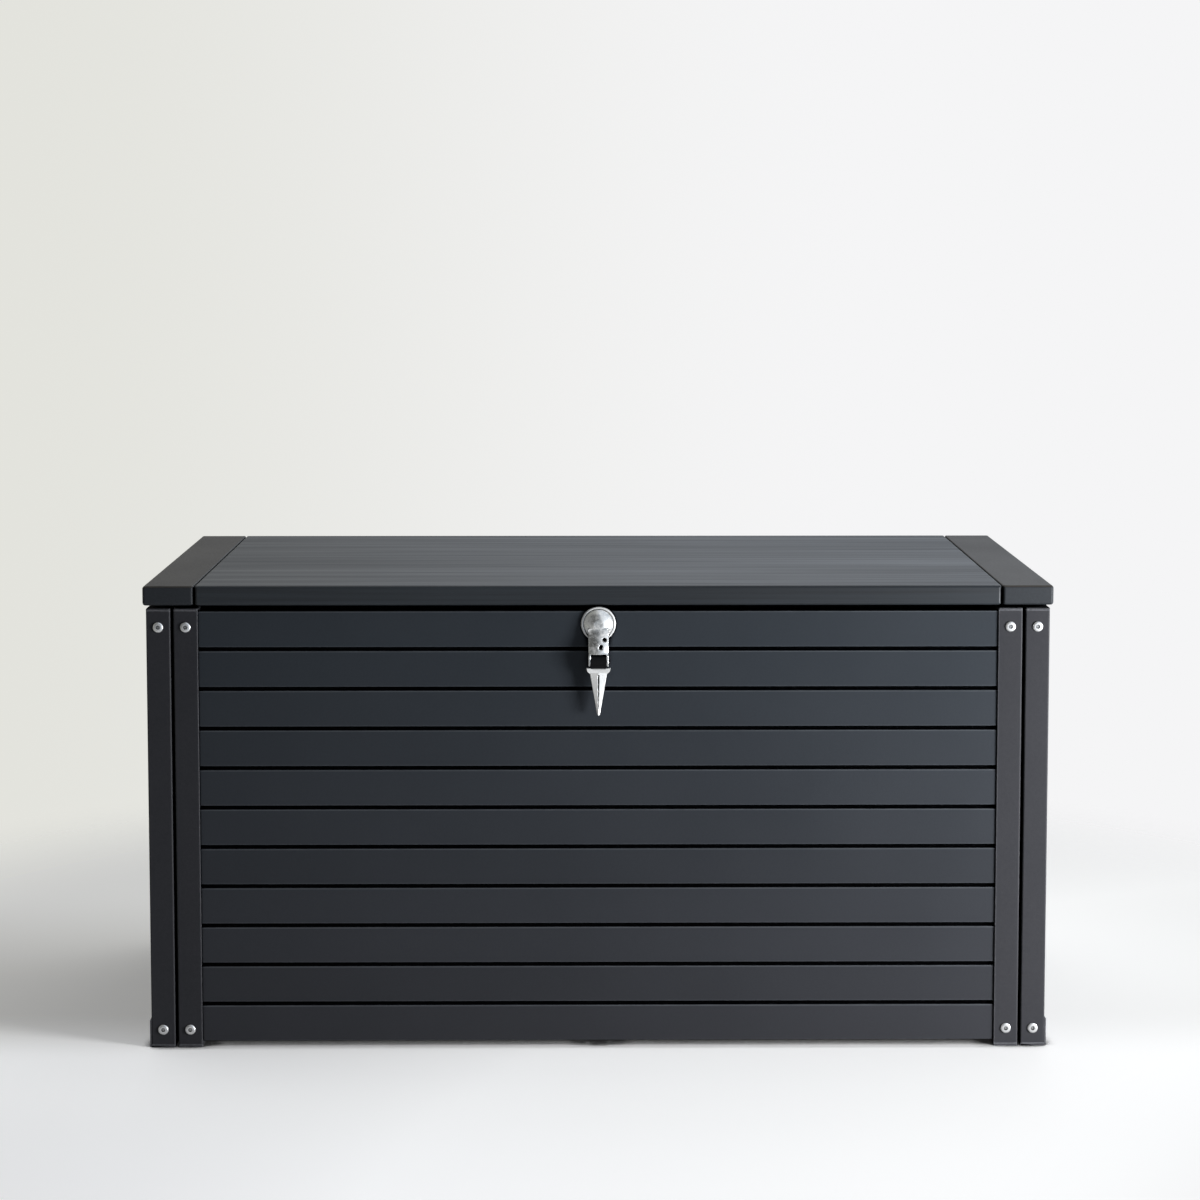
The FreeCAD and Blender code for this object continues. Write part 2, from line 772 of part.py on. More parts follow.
def make_rails():
    long_rail = "(2 * (%s - %s))" % (half_width, slat_inner)
    short_rail = "(%s - %s)" % (back_rail_inner, front_rail_inner)
    side_face = "(%s - sizes.post_size)" % half_width
    depth = size("rail_depth")
    wall = size("rail_wall")
    top_height = size("top_rail_height")
    low_height = size("bottom_rail_height")
    screw_up = "(%s - %s)" % (frame_screw_top, top_rail_bottom)
    screw_low = "(sizes.frame_screw_low - sizes.foot_thickness)"

    front_top = make_tube("front_top_rail", depth, top_height, wall, long_rail)
    drill_outer_wall(front_top, screw_up)
    bore = new_sketch(front_top, "XZ_Plane")
    circle(bore, "0", "%s - %s" % (latch_height, top_rail_bottom), spindle_hole)
    pocket(front_top, bore, both=True)
    set_place(front_top, "0", front_rail_face, top_rail_bottom)
    keep(front_top, "front_top_rail")

    back_top = make_tube("back_top_rail", depth, top_height, wall, long_rail)
    drill_outer_wall(back_top, screw_up)
    far_row = "(%s - %s + sizes.hinge_screw_far)" % (back_rail_face, hinge_line)
    drill_for_hinges(back_top, far_row, "0")
    set_place(back_top, "0", back_rail_face, top_rail_bottom, "180")
    keep(back_top, "back_top_rail")

    side_top = make_tube("side_top_rail", depth, top_height, wall, short_rail)
    copies("side_top_rails", side_top, [
        {"x": "(0 - %s)" % side_face, "y": wall_middle, "z": top_rail_bottom, "turn": "270"},
        {"x": side_face, "y": wall_middle, "z": top_rail_bottom, "turn": "90"},
    ])

    long_low = make_tube("long_bottom_rail", depth, low_height, wall, long_rail)
    drill_outer_wall(long_low, screw_low)
    short_low = make_tube("short_bottom_rail", depth, low_height, wall, short_rail)
    frame = (
        (long_low, "0", front_rail_face, "0"),
        (long_low, "0", back_rail_face, "180"),
        (short_low, "(0 - %s)" % side_face, wall_middle, "270"),
        (short_low, side_face, wall_middle, "90"),
    )
    pairs = []
    for source, x, y, turn in frame:
        pairs.append((source, {"x": x, "y": y, "z": size("foot_thickness"), "turn": turn}))
    linked("bottom_rails", pairs)

    hinge_rail = make_tube("hinge_rail", batten_depth, size("hinge_rail_height"), wall,
                           "(2 * %s)" % stile_inner)
    hinge_rail_face = "(%s - %s)" % (back_face, slat_inner)
    near_row = "(%s - %s + sizes.hinge_screw_near)" % (hinge_rail_face, hinge_line)
    drill_for_hinges(hinge_rail, near_row, "sizes.hinge_screw_spread")
    set_place(hinge_rail, "0", hinge_rail_face, "%s - sizes.hinge_rail_height" % body_top, "180")
    keep(hinge_rail, "hinge_rail")


def make_batten(name, top, bore=False, strut=False):
    """An upright tube behind the middle of a wall, between the slats and the rails."""
    body = new_body(name)
    wide = "(sizes.batten_width / 2)"
    wall = size("batten_wall")
    sketch = new_sketch(body, "XY_Plane")
    rectangle(sketch, "(0 - %s)" % wide, "0", wide, batten_depth)
    rectangle(sketch, "(%s - %s)" % (wall, wide), wall, "(%s - %s)" % (wide, wall),
              "(%s - %s)" % (batten_depth, wall))
    pad(body, sketch, "(%s - sizes.slat_bottom_height)" % top)
    if bore:
        hole = new_sketch(body, "XZ_Plane")
        circle(hole, "0", "%s - sizes.slat_bottom_height" % latch_height, spindle_hole)
        pocket(body, hole, both=True)
    if strut:
        holes = new_sketch(body, "XZ_Plane", "(0 - %s)" % batten_depth)
        level = "%s - sizes.slat_bottom_height" % strut_wall_height
        for row in sides:
            offset = "%d * sizes.strut_plate_screw_pitch / 2" % row
            circle(holes, "0", "%s + %s" % (level, offset), small_screw_hole)
        pocket(body, holes, "2 * sizes.batten_wall", both=True)
    return body


def make_battens():
    front = make_batten("front_batten", slats_top, bore=True)
    set_place(front, "0", "(%s + %s)" % (front_face, slat_inner), size("slat_bottom_height"))
    back = make_batten("back_batten", "(%s - sizes.hinge_rail_height)" % body_top)
    set_place(back, "0", "(%s - %s)" % (back_face, slat_inner), size("slat_bottom_height"), "180")
    side_inner = "(%s - %s)" % (half_width, slat_inner)
    left = make_batten("left_batten", slats_top, strut=True)
    set_place(left, "(0 - %s)" % side_inner, wall_middle, size("slat_bottom_height"), "270")
    right = make_batten("right_batten", slats_top, strut=True)
    set_place(right, side_inner, wall_middle, size("slat_bottom_height"), "90")
    group("battens", [front, back, left, right])


def make_floor():
    panel = new_body("floor_panel")
    sketch = new_sketch(panel, "XY_Plane")
    half_long = "(%s - sizes.post_size - sizes.floor_play)" % half_width
    half_short = "((%s - %s) / 2 - sizes.floor_play)" % (back_rail_face, front_rail_face)
    rectangle(sketch, "(0 - %s)" % half_long, "(0 - %s)" % half_short, half_long, half_short)
    pad(panel, sketch, size("floor_thickness"))
    set_place(panel, "0", wall_middle, floor_level)
    keep(panel, "floor_panel")

    bearer = make_tube("floor_bearer", size("bearer_width"), size("bearer_height"), size("rail_wall"),
                       "(%s - %s)" % (back_rail_inner, front_rail_inner), role="XZ_Plane")
    pitch = "(%s / 2)" % side_rail_inner
    places = []
    for step in (-1, 0, 1):
        places.append({"x": "%d * %s - sizes.bearer_width / 2" % (step, pitch),
                       "y": wall_middle, "z": "%s - sizes.bearer_height" % floor_level})
    copies("floor_bearers", bearer, places)


def make_cover_strips():
    """Strips that close the gap between each leg and the stile beside it."""
    body = new_body("cover_strip")
    sketch = new_sketch(body, "XY_Plane")
    wide = "(sizes.strip_width / 2)"
    rectangle(sketch, "(0 - %s)" % wide, "0", wide, size("strip_thickness"))
    low = "(%s + sizes.floor_thickness)" % floor_level
    pad(body, sketch, "(%s - %s)" % (top_rail_bottom, low))
    middle = "((%s + %s) / 2)" % (leg_centre, stile_centre)
    places = []
    for y, turn in ((front_rail_face, "0"), (back_rail_face, "180")):
        for x in ("(0 - %s)" % middle, middle):
            places.append({"x": x, "y": y, "z": low, "turn": turn})
    copies("cover_strips", body, places)


def make_corner_brackets():
    """Angles welded into the corners of the top and bottom rail frames."""
    body = new_body("corner_bracket")
    leg = size("corner_bracket_leg")
    thick = size("corner_bracket_thickness")
    sketch = new_sketch(body, "XY_Plane")
    outline(sketch, [("0", "0"), (leg, "0"), (leg, thick), (thick, thick), (thick, leg), ("0", leg)])
    pad(body, sketch, size("corner_bracket_height"))
    top = "(%s + (sizes.top_rail_height - sizes.corner_bracket_height) / 2)" % top_rail_bottom
    low = "(sizes.foot_thickness + (sizes.bottom_rail_height - sizes.corner_bracket_height) / 2)"
    minus = "(0 - %s)" % side_rail_inner
    corners = ((minus, front_rail_inner, "0"), (side_rail_inner, front_rail_inner, "90"),
               (side_rail_inner, back_rail_inner, "180"), (minus, back_rail_inner, "270"))
    places = []
    for level in (low, top):
        for x, y, turn in corners:
            places.append({"x": x, "y": y, "z": level, "turn": turn})
    copies("corner_brackets", body, places)


def make_buffers():
    """Rubber pads on the rails that the closed lid comes down on."""
    body = new_body("lid_buffer")
    sketch = new_sketch(body, "XY_Plane")
    circle(sketch, "0", "0", size("buffer_radius"))
    pad(body, sketch, "sizes.lid_air_gap - sizes.buffer_play")
    places = []
    front_line = "(%s + sizes.rail_depth / 2)" % front_rail_face
    back_line = "(%s - sizes.rail_depth / 2)" % back_rail_face
    for y in (front_line, back_line):
        for side in sides:
            across = "%d * (%s - sizes.buffer_inset)" % (side, half_width)
            places.append({"x": across, "y": y, "z": body_top})
    copies("lid_buffers", body, places)


# Screws.

def make_frame_screws():
    """Domed screws that hold the legs and stiles to the rails."""
    body = new_body("frame_screw")
    shank = "(sizes.frame_screw_shank / 2)"
    head = "(sizes.frame_screw_head / 2)"
    sketch = new_sketch(body, "XZ_Plane")
    tail = "(0 - sizes.frame_screw_length)"
    rise = size("frame_screw_rise")
    outline(sketch, [("0", tail), (shank, tail), (shank, "0"), (head, "0"), (head, rise), ("0", rise)])
    revolve(body, sketch)

    def rim(edge):
        return round_edge(edge, head) and near(edge.Curve.Center.z, rise)

    soften(body, rim, size("frame_screw_crown"))
    key = new_sketch(body, "XY_Plane", rise)
    hexagon(key, size("frame_screw_key"))
    pocket(body, key, size("frame_screw_key_depth"))
    places = []
    for y, turn in ((front_face, "90"), (back_face, "-90")):
        for x in (leg_centre, stile_centre, minus_leg, minus_stile):
            for z in (size("frame_screw_low"), frame_screw_top):
                places.append({"x": x, "y": y, "z": z, "turn": turn, "axis": (1, 0, 0)})
    copies("frame_screws", body, places)


def small_screw():
    """A countersunk screw with its head's face at the origin and its shank going down."""
    body = new_body("small_screw")
    shank = "(sizes.small_screw_shank / 2)"
    head = "(%s + sizes.small_screw_cone)" % shank
    tip = "(0 - sizes.small_screw_length)"
    sketch = new_sketch(body, "XZ_Plane")
    outline(sketch, [("0", "0"), ("0", tip), (shank, "%s + %s" % (tip, shank)),
                     (shank, "0 - sizes.small_screw_cone"), (head, "0")])
    revolve(body, sketch)
    return body


def countersink(body, level):
    """Open the mouths of the screw holes that lie at a level into cones."""
    def mouth(edge):
        return round_edge(edge, small_screw_hole) and near(edge.Curve.Center.z, level)

    soften(body, mouth, size("small_screw_cone"), "Chamfer")


leaf_screw_rows = (
    ("(0 - sizes.hinge_screw_spread)", "(0 - sizes.hinge_screw_near)"),
    ("sizes.hinge_screw_spread", "(0 - sizes.hinge_screw_near)"),
    ("0", "(0 - sizes.hinge_screw_far)"),
)
bar_steps = (-2, -1, 0, 1, 2)
end_steps = (-1, 0, 1)


# Lid.

keeper_back = "(%s + %s + sizes.cam_thickness" % (slat_plane, slat_to_cam)
keeper_back += " + sizes.keeper_back_play + sizes.keeper_thickness)"
lid_bar_half = "(%s - sizes.lid_bar_end_inset)" % panel_half
lid_bar_place = "(%s - sizes.lid_bar_inset)" % back_face
bar_screw_pitch = "((%s - sizes.lid_bar_screw_inset) / %d)" % (lid_bar_half, bar_steps[-1])
end_screw_place = "(%s - sizes.lid_end_screw_edge)" % back_face
lid_bracket_screw_x = "(%s - sizes.strut_ear_thickness - sizes.strut_flange_width / 2)" % strut_eye_inner
end_screw_x = "(%s + sizes.lid_end_screw_inset)" % panel_half


def keeper_screw_row(side):
    return "(sizes.keeper_flange / 2 + %d * sizes.keeper_screw_spread)" % side


def lid_screw_places():
    """Every screw that goes up into the lid, as its head's place, by what it holds."""
    places = {"hinges": [], "bars": [], "keeper": [], "brackets": [], "ends": []}
    for middle in hinge_middles:
        for across, along in leaf_screw_rows:
            places["hinges"].append((middle + " + " + across, hinge_line + " + " + along,
                                     "%s + sizes.hinge_leaf_play" % hinge_height))
    for side in sides:
        for step in bar_steps:
            places["bars"].append(("%d * %s" % (step, bar_screw_pitch), "%d * %s" % (side, lid_bar_place),
                                   "%s - sizes.lid_bar_thickness" % lid_bottom))
        places["keeper"].append((size("keeper_place"), "%s + %s" % (keeper_back, keeper_screw_row(side)),
                                 "%s - sizes.keeper_thickness" % lid_bottom))
    for side in sides:
        for row in sides:
            along = "%s + %d * sizes.strut_flange_screw_pitch / 2" % (strut_lid_place, row)
            places["brackets"].append(("%d * %s" % (side, lid_bracket_screw_x), along,
                                       "%s - sizes.strut_flange_thickness" % lid_bottom))
        for step in end_steps:
            places["ends"].append(("%d * %s" % (side, end_screw_x),
                                   "%d * %s" % (step, end_screw_place), lid_bottom))
    return places


def make_lid_panel():
    body = new_body("lid_panel")
    back = back_face
    front = "(0 - %s)" % back_face
    sketch = new_sketch(body, "XY_Plane")
    rectangle(sketch, "(0 - %s)" % panel_half, front, panel_half, back)
    pad(body, sketch, size("lid_thickness"))
    soften(body, lambda edge: True, size("lid_edge_radius"))
    tongue = new_sketch(body, "XZ_Plane")
    reach = "(%s + sizes.lid_tongue_length)" % panel_half
    low = "((sizes.lid_thickness - sizes.lid_tongue_thickness) / 2)"
    rectangle(tongue, "(0 - %s)" % reach, low, reach, "(%s + sizes.lid_tongue_thickness)" % low)
    pad(body, tongue, "(sizes.lid_depth - 2 * sizes.lid_tongue_setback)", both=True)
    places = lid_screw_places()
    holes = new_sketch(body, "XY_Plane")
    for kind in ("hinges", "bars", "keeper", "brackets"):
        for x, y, z in places[kind]:
            circle(holes, x, y, small_screw_hole)
    pocket(body, holes, size("small_screw_length"), back=True)
    ends = new_sketch(body, "XY_Plane")
    for x, y, z in places["ends"]:
        circle(ends, x, y, small_screw_hole)
    pocket(body, ends, "sizes.small_screw_length + sizes.screw_play", back=True)
    set_place(body, "0", "0", lid_bottom)
    keep(body, "lid_panel")


def make_lid_end(label, side):
    """A hollow end piece of the lid, with a slot for the panel's tongue."""
    body = new_body(label)
    inner = "(sizes.lid_width / 2 - sizes.lid_end_width + sizes.lid_seam / 2)"
    outer = "(sizes.lid_width / 2)"
    wall = size("lid_end_wall")
    front = "(0 - %s)" % back_face
    sketch = new_sketch(body, "XY_Plane")
    rectangle(sketch, "%d * %s" % (side, inner), front, "%d * %s" % (side, outer), back_face)
    pad(body, sketch, size("lid_thickness"))
    soften(body, lambda edge: True, size("lid_edge_radius"))
    hollow = new_sketch(body, "XZ_Plane")
    rectangle(hollow, "%d * (%s + %s)" % (side, inner, wall), wall,
              "%d * (%s - %s)" % (side, outer, wall), "(sizes.lid_thickness - %s)" % wall)
    pocket(body, hollow, "(sizes.lid_depth - 2 * %s)" % wall, both=True)
    slot = new_sketch(body, "XZ_Plane")
    middle = "(sizes.lid_thickness / 2)"
    gap = "(sizes.lid_tongue_thickness / 2 + sizes.lid_tongue_play)"
    rectangle(slot, "%d * (%s - %s)" % (side, inner, wall), "(%s - %s)" % (middle, gap),
              "%d * (%s + 2 * %s)" % (side, inner, wall), "(%s + %s)" % (middle, gap))
    slot_length = "(sizes.lid_depth - 2 * (sizes.lid_tongue_setback - sizes.lid_tongue_play))"
    pocket(body, slot, slot_length, both=True)
    holes = new_sketch(body, "XY_Plane")
    for x, y, z in lid_screw_places()["ends"]:
        if x.startswith("%d *" % side):
            circle(holes, x, y, small_screw_hole)
    pocket(body, holes, "2 * " + wall, back=True)
    countersink(body, "0")
    set_place(body, "0", "0", lid_bottom)
    keep(body, label)


def make_lid_bars():
    body = new_body("lid_bar")
    half_wide = "(sizes.lid_bar_width / 2)"
    sketch = new_sketch(body, "XY_Plane")
    rectangle(sketch, "(0 - %s)" % lid_bar_half, "(0 - %s)" % half_wide, lid_bar_half, half_wide)
    for step in bar_steps:
        circle(sketch, "%d * %s" % (step, bar_screw_pitch), "0", small_screw_hole)
    pad(body, sketch, size("lid_bar_thickness"))
    countersink(body, "0")
    places = []
    for side in sides:
        places.append({"y": "%d * %s" % (side, lid_bar_place),
                       "z": "%s - sizes.lid_bar_thickness" % lid_bottom})
    copies("lid_bars", body, places)


# Hinges, drawn about their own pin line.

def make_hinge_leaf(name, upper):
    body = new_body(name)
    half_wide = "(sizes.hinge_width / 2)"
    reach = "(0 - sizes.hinge_setback - sizes.hinge_reach)"
    edge_line = "(0 - sizes.hinge_setback)"
    knuckle = "(sizes.hinge_knuckle / 2)"
    middle_length = size("hinge_middle_knuckle")
    low = size("hinge_leaf_play") if upper else "(0 - sizes.lid_air_gap / 2)"
    inner_face = low if upper else "(0 - sizes.hinge_leaf_play)"
    leaf = new_sketch(body, "XY_Plane", low)
    rectangle(leaf, "(0 - %s)" % half_wide, reach, half_wide, edge_line if upper else "0")
    pad(body, leaf, leaf_thickness)

    def far_corner(edge):
        return straight_along(edge, (0, 0, 1)) and near(edge.Vertexes[0].Y, reach)

    soften(body, far_corner, size("hinge_corner_radius"))
    holes = new_sketch(body, "XY_Plane")
    for across, along in leaf_screw_rows:
        circle(holes, across, along, small_screw_hole)
    pocket(body, holes, both=True)
    countersink(body, inner_face)
    if upper:
        tab = new_sketch(body, "YZ_Plane")
        rectangle(tab, edge_line, low, "0", "(%s + %s)" % (low, leaf_thickness))
        pad(body, tab, middle_length, both=True)
    barrel = new_sketch(body, "YZ_Plane")
    circle(barrel, "0", "0", knuckle)
    pad(body, barrel, middle_length if upper else size("hinge_width"), both=True)
    if not upper:
        gap = new_sketch(body, "YZ_Plane")
        rectangle(gap, edge_line, "(0 - sizes.hinge_knuckle)", size("hinge_knuckle"),
                  size("hinge_knuckle"))
        pocket(body, gap, "(%s + 2 * sizes.hinge_knuckle_gap)" % middle_length, both=True)
    bore = new_sketch(body, "YZ_Plane")
    circle(bore, "0", "0", "((sizes.hinge_pin + sizes.hinge_bore_play) / 2)")
    pocket(body, bore, both=True)
    return body


def make_hinges():
    places = [{"x": middle, "y": hinge_line, "z": hinge_height} for middle in hinge_middles]
    copies("hinge_body_leaves", make_hinge_leaf("hinge_body_leaf", upper=False), places)
    copies("hinge_lid_leaves", make_hinge_leaf("hinge_lid_leaf", upper=True), places)
    pin = new_body("hinge_pin")
    sketch = new_sketch(pin, "YZ_Plane")
    circle(sketch, "0", "0", "(sizes.hinge_pin / 2)")
    pad(pin, sketch, size("hinge_width"), both=True)
    for back in (False, True):
        side = "(0 - sizes.hinge_width / 2)" if back else "(sizes.hinge_width / 2)"
        head = new_sketch(pin, "YZ_Plane", side)
        circle(head, "0", "0", "(sizes.hinge_pin_head / 2)")
        pad(pin, head, size("hinge_pin_head_rise"), back=back)
    copies("hinge_pins", pin, places)


# Latch, drawn about the spindle's line with its back plane on the slats' faces.

pin_y = "(0 - sizes.pin_reach)"
pin_z = "(0 - sizes.pin_drop)"
pin_hole = "((sizes.pin_diameter + sizes.spindle_play) / 2)"
fork_half = "(sizes.barrel_length / 2 + sizes.barrel_end_play + sizes.ear_thickness)"


def place_latch(item):
    set_place(item, "0", slat_plane, latch_height)


def make_rosette():
    body = new_body("latch_rosette")
    sketch = new_sketch(body, "XZ_Plane")
    circle(sketch, "0", "0", size("rosette_radius"))
    circle(sketch, "0", "0", spindle_hole)
    pad(body, sketch, size("rosette_thickness"))

    def front_rim(edge):
        on_rim = round_edge(edge, size("rosette_radius"))
        return on_rim and near(edge.Curve.Center.y, "0 - sizes.rosette_thickness")

    soften(body, front_rim, size("rosette_edge_radius"))
    place_latch(body)
    keep(body, "latch_rosette")


def make_latch_handle():
    """The domed head, its spindle through the wall, and the fork that holds the drop lever."""
    body = new_body("latch_handle")
    base = "(0 - sizes.rosette_thickness - sizes.turning_play)"
    top = "(%s - sizes.dome_rise)" % base
    radius = size("dome_radius")
    ball = "((%s * %s + sizes.dome_rise * sizes.dome_rise) / 2 / sizes.dome_rise)" % (radius, radius)
    dome = new_sketch(body, "XY_Plane")
    outline(dome, [("0", base), ("0", top), (radius, base)], arcs={1: (ball, -1)})
    revolve(body, dome)
    inner = "(sizes.barrel_length + 2 * sizes.barrel_end_play)"
    mouth = "(sizes.barrel_radius + sizes.neck_mouth_play - sizes.pin_drop)"
    front = "(0 - sizes.neck_front_reach)"
    back = "(0 - sizes.neck_back_reach)"
    neck = new_sketch(body, "YZ_Plane")
    outline(neck, [(base, "(0 - sizes.neck_top)"), ("(%s + sizes.neck_step)" % top, "(0 - sizes.neck_top)"),
                   ("(%s + sizes.neck_step)" % front, "(%s + sizes.neck_chin)" % mouth), (front, mouth),
                   (back, mouth), (base, "(0 - sizes.rosette_radius)")])
    pad(body, neck, "(2 * %s)" % fork_half, both=True)
    ears = new_sketch(body, "YZ_Plane")
    ear = size("ear_radius")
    ear_front = "(%s - %s)" % (pin_y, ear)
    ear_back = "(%s + %s)" % (pin_y, ear)
    root = "(%s + sizes.ear_root)" % mouth
    outline(ears, [(ear_front, root), (ear_front, pin_z), (ear_back, pin_z), (ear_back, root)],
            arcs={1: (None, -1)})
    pad(body, ears, "(2 * %s)" % fork_half, both=True)
    slot = new_sketch(body, "YZ_Plane")
    rectangle(slot, "(2 * %s)" % front, "(%s - 2 * %s)" % (pin_z, ear), "0", mouth)
    pocket(body, slot, inner, both=True)
    hole = new_sketch(body, "YZ_Plane")
    circle(hole, pin_y, pin_z, pin_hole)
    pocket(body, hole, both=True)
    shaft = new_sketch(body, "XZ_Plane", "(0 - %s)" % base)
    circle(shaft, "0", "0", "(sizes.spindle / 2)")
    shaft_length = "(%s + sizes.cam_thickness + sizes.nut_thickness - %s)" % (slat_to_cam, base)
    pad(body, shaft, shaft_length, back=True)
    dimples = new_sketch(body, "XZ_Plane", "(sizes.dimple_floor + sizes.dimple_run)")
    for level in ("high", "low"):
        circle(dimples, size("dimple_%s_place" % level), "(0 - sizes.dimple_%s_drop)" % level,
               size("dimple_radius"))
    pocket(body, dimples, size("dimple_run"))
    place_latch(body)
    keep(body, "latch_handle")


def make_latch_small_parts():
    pin = new_body("latch_pivot_pin")
    shank = new_sketch(pin, "YZ_Plane")
    circle(shank, pin_y, pin_z, "(sizes.pin_diameter / 2)")
    pad(pin, shank, "(2 * %s)" % fork_half, both=True)
    for back in (False, True):
        head = new_sketch(pin, "YZ_Plane", "%d * %s" % (-1 if back else 1, fork_half))
        circle(head, pin_y, pin_z, "(sizes.pin_head / 2)")
        pad(pin, head, "(sizes.pin_head_rise / 2)" if back else size("pin_head_rise"), back=back)
    place_latch(pin)
    keep(pin, "latch_pivot_pin")

    barrel = new_body("latch_barrel")
    block = new_sketch(barrel, "YZ_Plane")
    flat = size("barrel_flat")
    low = "(%s - sizes.barrel_radius)" % pin_z
    rectangle(block, "(%s - %s)" % (pin_y, flat), low, "(%s + %s)" % (pin_y, flat), pin_z)
    pad(barrel, block, size("barrel_length"), both=True)
    roll = new_sketch(barrel, "YZ_Plane")
    circle(roll, pin_y, pin_z, size("barrel_radius"))
    pad(barrel, roll, size("barrel_length"), both=True)
    bore = new_sketch(barrel, "YZ_Plane")
    circle(bore, pin_y, pin_z, pin_hole)
    pocket(barrel, bore, both=True)
    place_latch(barrel)
    keep(barrel, "latch_barrel")

    cam = new_body("latch_cam")
    reach = size("cam_reach")
    wide = size("cam_radius")
    arm = new_sketch(cam, "XZ_Plane", "(0 - %s)" % slat_to_cam)
    outline(arm, [("(0 - %s)" % wide, "0"), (wide, "0"), (wide, reach), ("(0 - %s)" % wide, reach)],
            arcs={0: (None, -1), 2: (None, -1)})
    circle(arm, "0", "0", spindle_fit)
    pad(cam, arm, size("cam_thickness"), back=True)
    place_latch(cam)
    keep(cam, "latch_cam")

    nut = new_body("cam_nut")
    hexed = new_sketch(nut, "XZ_Plane", "(0 - %s - sizes.cam_thickness)" % slat_to_cam)
    hexagon(hexed, size("nut_width"))
    circle(hexed, "0", "0", spindle_fit)
    pad(nut, hexed, size("nut_thickness"), back=True)
    place_latch(nut)
    washer = new_body("cam_washer")
    ring = new_sketch(washer, "XZ_Plane", "(0 - %s)" % slat_to_cam)
    circle(ring, "0", "0", size("washer_radius"))
    circle(ring, "0", "0", spindle_fit)
    pad(washer, ring, size("washer_thickness"))
    place_latch(washer)
    group("latch_nut_and_washer", [nut, washer])


def make_latch_lever():
    """The drop lever: a collar under the barrel and a tapered, grooved tail."""
    body = new_body("latch_lever")
    top = "(0 - sizes.pin_drop - sizes.barrel_radius)"
    collar = "(sizes.lever_collar_width / 2)"
    neck = "(sizes.lever_neck_width / 2)"
    tip = "(sizes.lever_tip_width / 2)"
    collar_low = "(%s - sizes.lever_collar_height)" % top
    shoulder = "(%s - sizes.lever_shoulder)" % top
    bottom = "(%s - sizes.lever_length)" % top
    middle = "(sizes.pin_reach + sizes.lever_thickness / 2)"
    front = new_sketch(body, "XZ_Plane", middle)
    collar_foot = "(%s - sizes.lever_collar_taper)" % collar
    outline(front, [("(0 - %s)" % collar, top), ("(0 - %s)" % collar_foot, collar_low),
                    ("(0 - %s)" % neck, shoulder), ("(0 - %s)" % tip, bottom), (tip, bottom),
                    (neck, shoulder), (collar_foot, collar_low), (collar, top)], arcs={3: (None, -1)})
    pad(body, front, size("lever_thickness"), back=True)
    face = "(0 - %s)" % middle
    rear = "(%s + sizes.lever_thickness)" % face
    thin = "((sizes.lever_thickness - sizes.lever_tip_thickness) / 2)"
    end = "(%s - 2 * %s)" % (bottom, tip)
    for plane, way in ((face, "+"), (rear, "-")):
        taper = new_sketch(body, "YZ_Plane")
        outline(taper, [(plane, shoulder), ("(%s %s %s)" % (plane, way, thin), end),
                        ("(%s %s %s)" % (plane, "-" if way == "+" else "+", thin), end)])
        pocket(body, taper, both=True)
    groove = new_sketch(body, "XZ_Plane", middle)
    wide = "(sizes.lever_groove_width / 2)"
    slim = "(sizes.lever_groove_tip / 2)"
    groove_top = "(%s - sizes.lever_groove_start)" % top
    groove_end = "(%s - sizes.lever_groove_end)" % top
    outline(groove, [("(0 - %s)" % wide, groove_top), ("(0 - %s)" % slim, groove_end),
                     (slim, groove_end), (wide, groove_top)])
    pocket(body, groove, "(%s + sizes.lever_groove_depth)" % thin)
    place_latch(body)
    keep(body, "latch_lever")


def make_keeper():
    """A hook under the lid whose foot goes below the turned cam."""
    body = new_body("lid_keeper")
    thick = size("keeper_thickness")
    foot_top = "(%s - sizes.cam_radius - sizes.keeper_lift_play - %s)" % (latch_height, lid_bottom)
    foot_low = "(%s - sizes.keeper_foot_height)" % foot_top
    toe = "(0 - %s - sizes.keeper_foot)" % thick
    sketch = new_sketch(body, "YZ_Plane")
    outer = "(0 - %s)" % thick
    flange = size("keeper_flange")
    outline(sketch, [(outer, "0"), (outer, foot_top), (toe, foot_top), (toe, foot_low), ("0", foot_low),
                     ("0", outer), (flange, outer), (flange, "0")])
    pad(body, sketch, size("keeper_width"), both=True)
    holes = new_sketch(body, "XY_Plane")
    for side in sides:
        circle(holes, "0", keeper_screw_row(side), small_screw_hole)
    pocket(body, holes, both=True)
    countersink(body, "0 - sizes.keeper_thickness")
    set_place(body, size("keeper_place"), keeper_back, lid_bottom)
    keep(body, "lid_keeper")


# Gas struts. Each is drawn along its own length, from the pivot on the wall.

def add_strut_eye(body, centre, way, stem_start):
    """A flat eye and the tab that joins it to the round part of the strut."""
    half_tab = "(sizes.strut_tab_width / 2)"
    reach = "%d * (%s + sizes.strut_tab_overlap)" % (way, stem_start)
    tab = new_sketch(body, "YZ_Plane")
    rectangle(tab, "(0 - %s)" % half_tab, centre, half_tab, "(%s + %s)" % (centre, reach))
    pad(body, tab, size("strut_eye_thickness"), both=True)
    eye = new_sketch(body, "YZ_Plane")
    circle(eye, "0", centre, size("strut_eye_radius"))
    pad(body, eye, size("strut_eye_thickness"), both=True)


